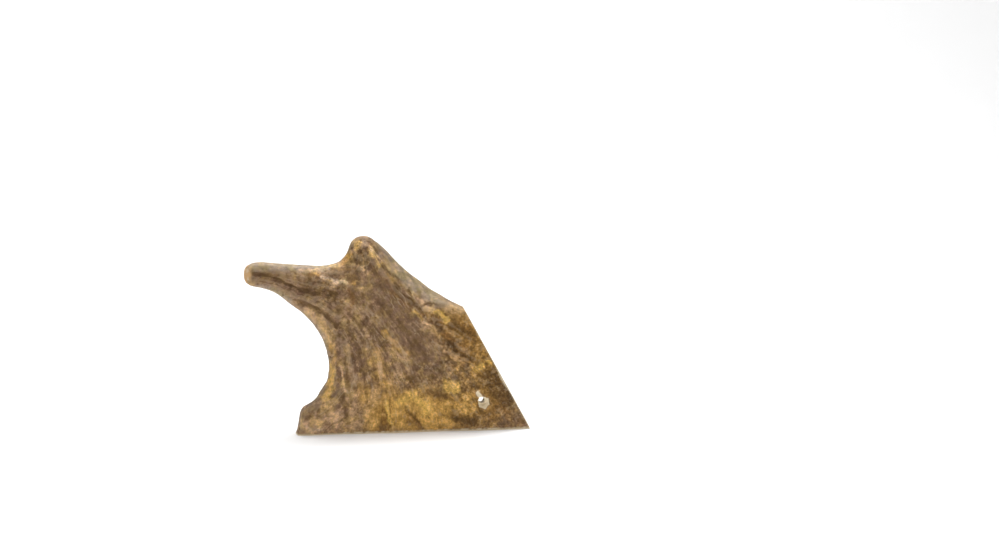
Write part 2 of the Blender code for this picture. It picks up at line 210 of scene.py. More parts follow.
def read_edges(mesh):
    edges = np.empty(len(mesh.edges) * 2, dtype=int)
    mesh.edges.foreach_get("vertices", edges)
    return edges.reshape(-1, 2)


def even_out(points, edges, rounds):
    """Smooth away facets without shrinking the piece."""
    for _ in range(rounds):
        points = points + EVEN_INWARDS * (neighbour_mean(points, edges) - points)
        points = points - EVEN_OUTWARDS * (neighbour_mean(points, edges) - points)
    return points


skin_edges = read_edges(blank_mesh)
bone_points = even_out(read_vectors(blank_mesh, "co"), skin_edges, EVEN_ROUNDS)
write_points(blank_mesh, bone_points)

# ---- The bark relief ----
# Blood vessels under the velvet left gutters in the bone, and between them it grew in ribs
# that run from the foot and the right side up into the tines. Small pits and pearls crowd
# its rough parts. The middle of the palm and the flank are almost smooth.

# The grain runs between these lines: 0 along the bay, 0.5 over the saddle, 1 down the flank
BAY_SIDE = [(-1.6, -13.5), (1, 5), (6, 11.9), (12.1, 20.4), (13.1, 26.5),
            (12.2, 34.6), (4.3, 47), (-7.9, 56.6), (-18.5, 61)]
SADDLE = [(-18, 68.4), (-1, 67.7), (14.2, 67.5), (20.6, 71.5), (23.6, 77.3), (25.6, 78.4)]
FLANK_SIDE = [(27.6, 78.6), (31, 77.4), (38.4, 70.5), (50.5, 59.3), (62.6, 51.5), (79, 44.5),
              (95, 37)]
TINE_END = np.array((-21.2, 64.5))
FRONT, BACK = -1, 1

# side, width, depth, and the line that the gutter follows
GUTTERS = {
    "wide start of the long tine's gutter": (FRONT, 1, 0.3, [(-18, 65.7), (-14.8, 65.2),
        (-12, 64.6)]),
    "crack of the long tine's gutter": (FRONT, 0.42, 0.3, [(-12.6, 64.5), (-9, 63.6), (-6.8, 62.7),
        (-4.8, 61.4), (-3.4, 60.7), (-1.6, 60.1), (0.4, 58.6), (2, 57.8)]),
    "shallow end of the long tine's gutter": (FRONT, 1.3, 0.2, [(1.4, 58.2), (5, 57.2),
        (10, 57.4)]),
    "second gutter over the bay": (FRONT, 0.7, 0.2, [(3.4, 53.4), (5.4, 52.4), (8, 51), (10.4, 49),
        (12.4, 46.8), (15, 44.6)]),
    "thin crack in the long tine": (FRONT, 0.35, 0.07, [(-14, 62.6), (-8, 60.9), (-3, 57.8),
        (2, 56)]),
    "edge of the flank": (FRONT, 0.6, 0.18, [(35.4, 65), (37.6, 62.2), (39.6, 59.2), (41.2, 57),
        (43, 55.4), (45, 53.8), (47, 51.9), (49, 50)]),
    "olive crack at the flank's end": (FRONT, 0.45, 0.22, [(50.4, 51.2), (53.4, 51.7),
        (56.4, 51.2)]),
    "slot in the right side": (FRONT, 0.8, 0.6, [(59.6, 37.2), (61.6, 35), (64.2, 32.4),
        (66.6, 30.9), (69.4, 28.9)]),
    "crack by the right cut": (FRONT, 0.6, 0.4, [(55.4, 44.6), (59, 43.2), (62.6, 41.2),
        (67, 38)]),
    "dark groove beside the bay": (FRONT, 0.8, 0.18, [(18.4, 34), (18.9, 29.6), (19.4, 24),
        (20.2, 19.5), (20.8, 14)]),
    "inner dark groove": (FRONT, 1, 0.18, [(23.6, 37), (25, 30), (26.2, 25.4), (28.2, 22)]),
    "groove under the middle rib": (FRONT, 0.9, 0.22, [(34.2, 36.4), (37, 33.4), (40.4, 30.8),
        (44.6, 29.2), (48, 26)]),
    "groove in the gold": (FRONT, 0.7, 0.22, [(42, 10.4), (44.2, 7.4), (47, 5.2), (49.6, 2.4)]),
    "cracks over the hole": (FRONT, 0.6, 0.25, [(69.8, 24.8), (73, 22.4), (77, 20.4),
        (80.6, 18.2)]),
    "back gutter of the long tine": (BACK, 0.8, 0.3, [(-17, 64.6), (-9, 62.8), (1, 59.4),
        (9, 54.8), (17, 47.8), (23.4, 37.4), (26.6, 26)]),
    "back gutter of the short tine": (BACK, 0.7, 0.25, [(24.4, 73), (28.6, 63), (35.6, 52.6),
        (44.4, 40.6), (52.4, 27), (57.4, 13)]),
    "back gutter of the right side": (BACK, 0.7, 0.2, [(41, 61.6), (49.6, 51.4), (59.4, 41.4),
        (70, 29), (79, 15)]),
    "back crack": (BACK, 0.5, 0.3, [(33, 33), (37, 24), (39, 14), (42, 6)]),
}
RIBS = {
    "rib between the gutters": (FRONT, 0.8, 0.22, [(-4, 58.4), (2, 55.6), (8, 52.9), (13.4, 49.8),
        (17.2, 45.8)]),
    "pale rib beside the bay": (FRONT, 0.5, 0.15, [(16.2, 31), (17.2, 26), (17.7, 22),
        (18.5, 17.6)]),
    "rib of the bay's rim": (FRONT, 0.8, 0.2, [(14.6, 35.6), (15.2, 28), (15, 21), (13.6, 16)]),
    "pale rib down the middle": (FRONT, 0.9, 0.2, [(30.4, 34.6), (32.4, 30.2), (33, 25),
        (34, 20.4), (36.4, 16.4), (38.6, 13.4)]),
    "short pale rib": (FRONT, 0.6, 0.2, [(35.2, 13.6), (35.9, 10), (36.1, 7.4), (36.6, 5.2),
        (37.8, 3.4)]),
    "middle rib": (FRONT, 1, 0.22, [(35.6, 40), (38, 36.8), (41, 34.2), (44.8, 31.6)]),
    "ridge beside the short tine": (FRONT, 0.8, 0.35, [(27.4, 77), (29.6, 73.2), (31.6, 70.4),
        (33.6, 68)]),
    "ridge at the flank's end": (FRONT, 0.8, 0.4, [(50, 50.2), (54.6, 49.2), (58.4, 46.4),
        (62.4, 43.6)]),
    "back rib": (BACK, 1, 0.3, [(21, 59), (29, 48), (37, 35), (42, 19)]),
    "back rib of the right side": (BACK, 0.9, 0.3, [(54, 50), (62, 42), (72, 30), (82, 14)]),
}
# The rough bark begins at a low crusty ledge, which rises on the right of this line
CRUST_EDGE = [(58, 22), (60, 30), (57.8, 36.4), (54.6, 41), (50.6, 44.4), (47.4, 48), (44, 53.4)]
CRUST_RISE = 0.24
CRUST_RAGGED = 1.6
CRUST_FALL = 5.0
FIBRE_HEIGHT = 0.13
FINE_FIBRE_HEIGHT = 0.06
LUMP_HEIGHT = 0.10
GRIT_HEIGHT = 0.07
CRACK_DEPTH = 0.08
CRACK_WIDTH = 0.045
# How fast each noise changes across the grain, along it and through the piece, or for the
# last four to the right, to the back and up, and where it starts
BARK_NOISES = {
    "fibres of the palm": ((34, 0.085, 0.10), 0.0),
    "fibres of the tines": ((16, 0.05, 0.16), 30.0),
    "fine fibres of the palm": ((80, 0.16, 0.3), 60.0),
    "fine fibres of the tines": ((30, 0.12, 0.5), 90.0),
    "cracks": ((22, 0.07, 0.14), 120.0),
    "cracked places": ((0.12, 0.12, 0.12), 7.0),
    "lumps": ((0.45, 0.45, 0.45), 40.0),
    "grit": ((1.3, 1.3, 1.3), 80.0),
    "crust edge": ((0.5, 0.5, 0.5), 70.0),
}
PIT_COUNT = 1500
PIT_SEED = 11
PIT_RADIUS = (0.45, 0.95)
PIT_DEPTH = (0.10, 0.26)
PIT_CROWDING = 1.7  # how strongly the pits keep to the rough places
PIT_SPREAD = 2.2
PEARL_SHARE = 0.8  # of a pit's depth
DEEPEST_PIT = -0.4
HIGHEST_PEARL = 0.35
MEAN_ROUGHNESS = 0.36
ROUGH_PLACES = [((25.6, 71.8), 6.5, 0.8), ((69, 30), 15, 0.9), ((79, 15), 12, 1),
                ((52, 43), 6, 0.8), ((12, 58), 6.5, 0.7), ((20, 6), 12, 0.2),
                ((45, 21), 6, 0.5), ((60, 6), 14, 0.1), ((21, 42), 8, 0.4)]
SMOOTH_PLACES = [((48, 36), 10, 0.85), ((52, 57), 8, 0.9), ((38, 68), 5, 0.8),
                 ((-10, 67.5), 7, 0.7), ((46, 28), 6, 0.6), ((39, 51), 7, 0.45)]
# Where the narrow edge swells or thins a little: place, reach, and how far in mm
EDGE_SWELLINGS = [((-15, 68.6), 5, 0.35), ((-7, 68), 5, 0.3), ((1.5, 67.5), 5, 0.3),
                  ((9.6, 16.8), 3.8, 0.85), ((8.6, 43), 4.5, -0.35)]
BURR_HEIGHT = 1.1
BURR_LENGTH = 0.45
BURR_FADE = (2.2, 0.2)  # mm from the left between which it begins and is whole


def smooth_step(value, low, high):
    t = np.clip((value - low) / (high - low), 0.0, 1.0)
    return t * t * (3 - 2 * t)


def smooth_line(points, steps=6):
    """A smooth curve through given places."""
    knots = np.array(points, dtype=float)
    knots = np.vstack([2 * knots[0] - knots[1], knots, 2 * knots[-1] - knots[-2]])
    made = []
    for before, start, end, after in zip(knots, knots[1:], knots[2:], knots[3:]):
        for t in np.arange(steps) / steps:
            made.append(0.5 * (2 * start + (end - before) * t
                               + (2 * before - 5 * start + 4 * end - after) * t ** 2
                               + (3 * start - before - 3 * end + after) * t ** 3))
    made.append(knots[-2])
    return np.array(made)


def nearest_on_line(places, line):
    """Distance to a line, its side (+1 on the right) and how far along it that is, 0 to 1."""
    runs = line[1:] - line[:-1]
    lengths = np.linalg.norm(runs, axis=1)
    offset = places[:, None, :] - line[None, :-1, :]
    t = np.clip((offset * runs).sum(axis=2) / lengths ** 2, 0.0, 1.0)
    apart = np.linalg.norm(offset - t[:, :, None] * runs, axis=2)
    nearest = apart.argmin(axis=1)
    row = np.arange(len(places))
    closest = offset[row, nearest]
    cross = runs[nearest, 1] * closest[:, 0] - runs[nearest, 0] * closest[:, 1]
    reached = np.concatenate([[0.0], np.cumsum(lengths)])
    along = (reached[nearest] + t[row, nearest] * lengths[nearest]) / reached[-1]
    return apart[row, nearest], np.where(cross >= 0, 1.0, -1.0), along


def noise_at(points, stretch, shift=0.0):
    """Smooth noise, from about -1 to 1, at each point of a stretched space."""
    places = points * np.array(stretch) + shift
    return np.array([noise.noise(place) for place in places.tolist()])


def wobble(points, fineness, starts):
    """A smooth shift to the right and up for each point."""
    return np.stack([noise_at(points, (fineness,) * 3, start) for start in starts], axis=1)


def growth_place(points):
    """Where a point lies in the grain: 0 at the bay to 1 at the flank, mm from the long
    tine's tip, and 0 where the grain is as narrow as a tine to 1 where it is wide."""
    places = points[:, [0, 2]]
    apart = np.stack([nearest_on_line(places, smooth_line(line, 4))[0]
                      for line in (BAY_SIDE, SADDLE, FLANK_SIDE)], axis=1)
    pull = 1 / np.maximum(apart, 0.05) ** 2
    across = (pull[:, 1] * 0.5 + pull[:, 2]) / pull.sum(axis=1)
    width = np.sort(apart, axis=1)[:, :2].sum(axis=1)
    from_tip = np.linalg.norm(places - TINE_END, axis=1)
    return across, from_tip, smooth_step(width, 16.0, 46.0)


def side_weight(facing, side):
    """1 on the front or the back of the piece, fading out on its narrow edges."""
    return smooth_step(facing[:, 1] * side, 0.05, 0.55)


def line_relief(points, facing, lines):
    """The height of gutters or ribs, which waver and fade out at their ends."""
    height = np.zeros(len(points))
    wavering = wobble(points, 0.35, (5.0, 25.0))
    places = points[:, [0, 2]] + 0.5 * wavering
    for side, width, depth, line in lines.values():
        apart, _, along = nearest_on_line(places, smooth_line(line))
        ends = np.sin(math.pi * np.clip(along, 0.02, 0.98)) ** 0.4
        spread = width * (1 + 0.3 * wavering[:, 1])
        height += (depth * ends * np.exp(-(apart / spread) ** 2)
                   * (0.75 + 0.6 * wavering[:, 0]) * side_weight(facing, side))
    return height


def nearness(points, centre, reach):
    """1 at a drawn place, falling to 0 around it."""
    return np.exp(-(np.linalg.norm(points[:, [0, 2]] - centre, axis=1) / reach) ** 2)


def roughness_of_place(points):
    """How crowded with pits and pearls each place is, 0 to 1."""
    rough = np.full(len(points), MEAN_ROUGHNESS)
    for centre, reach, amount in ROUGH_PLACES:
        rough += amount * nearness(points, centre, reach)
    for centre, reach, amount in SMOOTH_PLACES:
        rough *= 1 - amount * nearness(points, centre, reach)
    return np.clip(rough, 0.02, 1.0)


def search_tree(points, chosen):
    """A tree that finds the chosen points near a place."""
    found = KDTree(len(chosen))
    for index in chosen:
        found.insert(points[index].tolist(), index)
    found.balance()
    return found


def pits_and_pearls(points, rough):
    """Scattered pits, with a pearl for every third one, thickest in the rough places."""
    dice = random.Random(PIT_SEED)
    skin = search_tree(points, range(len(points)))
    height = np.zeros(len(points))
    for number in range(PIT_COUNT):
        centre = dice.randrange(len(points))
        radius = dice.uniform(*PIT_RADIUS)
        depth = dice.uniform(*PIT_DEPTH)
        if dice.random() > rough[centre] ** PIT_CROWDING:
            continue
        rise = PEARL_SHARE * depth if number % 3 == 0 else -depth
        for _, index, apart in skin.find_range(points[centre].tolist(), PIT_SPREAD * radius):
            height[index] += rise * math.exp(-(apart / radius) ** 2)
    return np.clip(height, DEEPEST_PIT, HIGHEST_PEARL)


def bark_noise(points, name):
    stretch, start = BARK_NOISES[name]
    return noise_at(points, stretch, start)


def fibres(grain, palm, name):
    """Fibres along the grain, those of the wide palm fading into those of the tines."""
    return (bark_noise(grain, name + " of the palm") * palm
            + bark_noise(grain, name + " of the tines") * (1 - palm))


def cracks(points, grain):
    """1 in fine cracks along the grain, in the places that are cracked."""
    return (np.exp(-(bark_noise(grain, "cracks") / CRACK_WIDTH) ** 2)
            * smooth_step(bark_noise(points, "cracked places"), -0.1, 0.25))


def crust_ledge(points, facing):
    """The low ledge that the rough bark begins with."""
    apart, side, along = nearest_on_line(points[:, [0, 2]], smooth_line(CRUST_EDGE))
    ragged = side * apart + CRUST_RAGGED * bark_noise(points, "crust edge")
    ledge = smooth_step(ragged, -0.35, 0.45) * np.exp(-np.clip(ragged, 0, None) / CRUST_FALL)
    ends = np.sin(math.pi * np.clip(along, 0.0, 1.0)) ** 0.5
    return CRUST_RISE * ledge * ends * side_weight(facing, FRONT)


def bark_height(points, facing):
    """How far the bark stands above or below the grown form, in mm."""
    across, from_tip, palm = growth_place(points)
    grain = np.stack([across, from_tip, points[:, 1]], axis=1)
    rough = roughness_of_place(points)
    height = (0.45 + 0.55 * rough) * (FIBRE_HEIGHT * fibres(grain, palm, "fibres")
                                      + FINE_FIBRE_HEIGHT * fibres(grain, palm, "fine fibres"))
    height += (LUMP_HEIGHT * bark_noise(points, "lumps") * (0.4 + rough)
               + GRIT_HEIGHT * bark_noise(points, "grit") * rough)
    height -= CRACK_DEPTH * cracks(points, grain) * palm * (0.3 + 0.7 * rough)
    height -= line_relief(points, facing, GUTTERS)
    height += line_relief(points, facing, RIBS)
    height += crust_ledge(points, facing)
    return height + pits_and_pearls(points, rough)


def edge_swelling(points, facing):
    """How far the narrow edges stand out, in mm."""
    swelling = sum(amount * nearness(points, centre, reach)
                   for centre, reach, amount in EDGE_SWELLINGS)
    return swelling * smooth_step(np.abs(facing[:, 1]), 0.95, 0.45)


facing = read_vectors(blank_mesh, "normal")
relief = bark_height(bone_points, facing) + edge_swelling(bone_points, facing)
raised = bone_points + facing * relief[:, None]
raised[:, 1] = raised[:, 1].clip(solid_box[0][1] / MM, solid_box[1][1] / MM)
# The saw tore a small burr out at the foot's left corner
burr = np.exp(-(raised[:, 2] / BURR_HEIGHT) ** 2) * smooth_step(raised[:, 0], *BURR_FADE)
raised[:, 0] -= BURR_LENGTH * burr
write_points(blank_mesh, raised)

# ---- The saw cuts ----
# The piece was cut from a larger antler with two straight cuts, one under its foot and one
# down its right side. The blade left both faces flat and their edges crisp.

CUT_GRID = 0.9
SAW_BLOCK_DEPTH = 14.0
SAW_BLOCK_WIDTH = 34.0
FOOT_BLOCK_START = -15.0
FOOT_BLOCK_LENGTH = 130.0
RIGHT_BLOCK_ABOVE = 14.0
RIGHT_BLOCK_LENGTH = 88.0
SAW_BITE = 0.02


def inside_cuts(points):
    """How far each point lies inside the foot cut and inside the right cut."""
    from_right = (np.array(right_point) - points) @ np.array(past_right_cut)
    return points[:, 2], from_right


def saw_block(name, corner, run, out_of_bone, length):
    """A block past a saw cut. Its face on the cut has small squares, and so has the cut."""
    shape = bmesh.new()
    bmesh.ops.create_grid(shape, x_segments=int(length / CUT_GRID),
                          y_segments=int(SAW_BLOCK_WIDTH / CUT_GRID), size=0.5)
    across = out_of_bone.cross(run)
    for vert in shape.verts:
        vert.co = (corner + run * (vert.co.x + 0.5) * length
                   + across * vert.co.y * SAW_BLOCK_WIDTH)
    draw_out(shape, list(shape.faces), out_of_bone * SAW_BLOCK_DEPTH)
    bmesh.ops.recalc_face_normals(shape, faces=shape.faces)
    return loose_object(name, to_mesh(name, shape))


def take_away(mesh, cutter):
    """The mesh with the cutter's space taken out of it."""
    cut_piece = loose_object("cut piece", mesh)
    cut = cut_piece.modifiers.new("cut", "BOOLEAN")
    cut.operation = "DIFFERENCE"
    cut.solver = "EXACT"
    cut.object = cutter
    cut_mesh = apply_modifiers(cut_piece)
    bpy.data.objects.remove(cutter, do_unlink=True)
    return cut_mesh


foot_block = saw_block("foot block", Vector((FOOT_BLOCK_START, 0, 0)), Vector((1, 0, 0)), DOWN,
                       FOOT_BLOCK_LENGTH)
cut_run = Vector((0, 0, 1)).cross(past_right_cut).normalized().cross(past_right_cut)
cut_start = right_point - cut_run * RIGHT_BLOCK_ABOVE - past_right_cut * SAW_BITE
right_block = saw_block("right block", cut_start, cut_run, past_right_cut, RIGHT_BLOCK_LENGTH)
sawn_mesh = take_away(take_away(blank_mesh, foot_block), right_block)

# ---- The drilled hole ----
# A narrow hole bored from the front to the back near the lower right corner. The drill broke
# the bark away around its mouth, more on the right, and a flake left above it to the left.
# Fresh bone shows there.

HOLE_DIAMETER = 2.4
HOLE_SIDES = 48
HOLE_RINGS = 24
HOLE_REACH = 14.0
CRATER_CENTRE = Vector((74.5, -8.0, 11.2))
CRATER_RADIUS = 2.6
CRATER_CHIPS = 6
CRATER_DEPTH = 1.15
RIM_SHARE = 0.35  # of the crater's depth is a steep rim, and the rest is its slope
SLOPE_SHARE = 0.65
FLAKE_ENDS = (Vector((72.0, 15.2)), Vector((73.3, 13.4)))
FLAKE_RADIUS = 0.95
FLAKE_DEPTH = 0.55
BROKEN_RIM = 0.3
FINE_SKIN_REACH = 4.6
JOINED_POINTS = 0.01  # points nearer to each other than this are joined
SLIVER = 0.002


def refine_around(shape, centre, reach):
    """Smaller faces on the front around a point."""
    edges = [edge for edge in shape.edges if edge.verts[0].co.y < 0
             and all((vert.co - centre).length < reach for vert in edge.verts)]
    bmesh.ops.subdivide_edges(shape, edges=edges, cuts=1, use_grid_fill=True)


def up_to_one(value):
    return min(1, max(0, value))


def flake_depth(point):
    """How deep the flake above the hole is at a point on the front."""
    start, end = FLAKE_ENDS
    place = Vector((point.x, point.z))
    along = up_to_one(geometry.intersect_point_line(place, start, end)[1])
    width = FLAKE_RADIUS * (0.85 + 0.15 * along) + 0.2 * noise.noise((point.x, 2.0, point.z))
    from_rim = width - (place - start.lerp(end, along)).length
    return FLAKE_DEPTH * up_to_one(from_rim / BROKEN_RIM)


def broken_depth(point):
    """How much bone is broken away around the hole at a point on the front."""
    offset = Vector((point.x - CRATER_CENTRE.x, point.z - CRATER_CENTRE.z))
    turn = math.atan2(offset.y, offset.x)
    chip = (turn + 0.35) % (2 * math.pi / CRATER_CHIPS) - math.pi / CRATER_CHIPS
    rim = CRATER_RADIUS * math.cos(math.pi / CRATER_CHIPS) / math.cos(chip)
    rim += 0.30 * noise.noise((1.6 * math.cos(turn), 1.6 * math.sin(turn), 3.0))
    from_rim = rim - offset.length
    depth = CRATER_DEPTH * (RIM_SHARE * up_to_one(from_rim / BROKEN_RIM)
                            + SLOPE_SHARE * up_to_one(from_rim / CRATER_RADIUS))
    depth += 0.22 * noise.noise((0.9 * point.x, 4.0, 0.9 * point.z)) * up_to_one(from_rim)
    return max(depth, flake_depth(point))


def bored_cutter():
    """The round space of the hole, from before its mouth to past the back."""
    shape = bmesh.new()
    side_way = HOLE_HEADING.orthogonal().normalized()
    other_way = HOLE_HEADING.cross(side_way)
    circles = []
    for ring in range(HOLE_RINGS + 1):
        middle = HOLE_MOUTH + HOLE_HEADING * (HOLE_REACH * (2.2 * ring / HOLE_RINGS - 0.4))
        circles.append([shape.verts.new(middle + HOLE_DIAMETER / 2 * (
            side_way * math.cos(2 * math.pi * k / HOLE_SIDES)
            + other_way * math.sin(2 * math.pi * k / HOLE_SIDES))) for k in range(HOLE_SIDES)])
    for near, far in zip(circles, circles[1:]):
        for k in range(HOLE_SIDES):
            after = (k + 1) % HOLE_SIDES
            shape.faces.new((near[k], near[after], far[after], far[k]))
    shape.faces.new(circles[0])
    shape.faces.new(circles[-1])
    bmesh.ops.recalc_face_normals(shape, faces=shape.faces)
    return loose_object("drill", to_mesh("drill", shape))


def clean_cut_faces(mesh):
    """Join points that almost meet along the cuts and split the cuts' many-sided faces."""
    shape = bmesh.new()
    shape.from_mesh(mesh)
    bmesh.ops.remove_doubles(shape, verts=shape.verts, dist=JOINED_POINTS)
    many_sided = [face for face in shape.faces if len(face.verts) > 4]
    bmesh.ops.triangulate(shape, faces=many_sided, ngon_method="BEAUTY")
    bmesh.ops.dissolve_degenerate(shape, dist=SLIVER, edges=shape.edges)
    shape.to_mesh(mesh)
    shape.free()


mouth = bmesh.new()
mouth.from_mesh(sawn_mesh)
refine_around(mouth, CRATER_CENTRE, FINE_SKIN_REACH)
for vert in mouth.verts:
    if vert.co.y < 0 and (vert.co - CRATER_CENTRE).length < FINE_SKIN_REACH + 1:
        vert.co += HOLE_HEADING * broken_depth(vert.co)
mouth.to_mesh(sawn_mesh)
mouth.free()
antler_mesh = take_away(sawn_mesh, bored_cutter())
antler_mesh.name = "antler"
clean_cut_faces(antler_mesh)

# ---- The colours of the bark ----
# Old velvet, blood, soil and handling stained the bark while it grew and after. Ochre and
# cream show where it was rubbed, umber lies in the gutters, and painted shade darkens the
# pits and other hollows. The smooth flank and the top of the long tine are grey bark with
# painted sheen, and painted reflections lie grey along the narrow edges.

# Each tone of stain: its colour, and how much of the bark it hides
PAINTS = {
    "amber": ((0.290, 0.155, 0.040), 0.85),
    # The two grey tones below are grey-beige bark with painted sheen and painted reflection on it,
    # laid where the tops and narrow edges catch the light
    "stone_and_sheen": ((0.300, 0.240, 0.160), 0.9),
    "slate_and_sheen": ((0.240, 0.192, 0.124), 0.9),
    "plum": ((0.200, 0.122, 0.072), 0.7),
    "rust": ((0.200, 0.096, 0.026), 0.75),
    "ochre": ((0.600, 0.355, 0.112), 0.8),
    "peach": ((0.640, 0.420, 0.220), 0.8),
    "gold": ((0.710, 0.450, 0.130), 0.85),
    "umber": ((0.088, 0.046, 0.016), 0.8),
    "cream": ((0.740, 0.560, 0.360), 0.8),
}
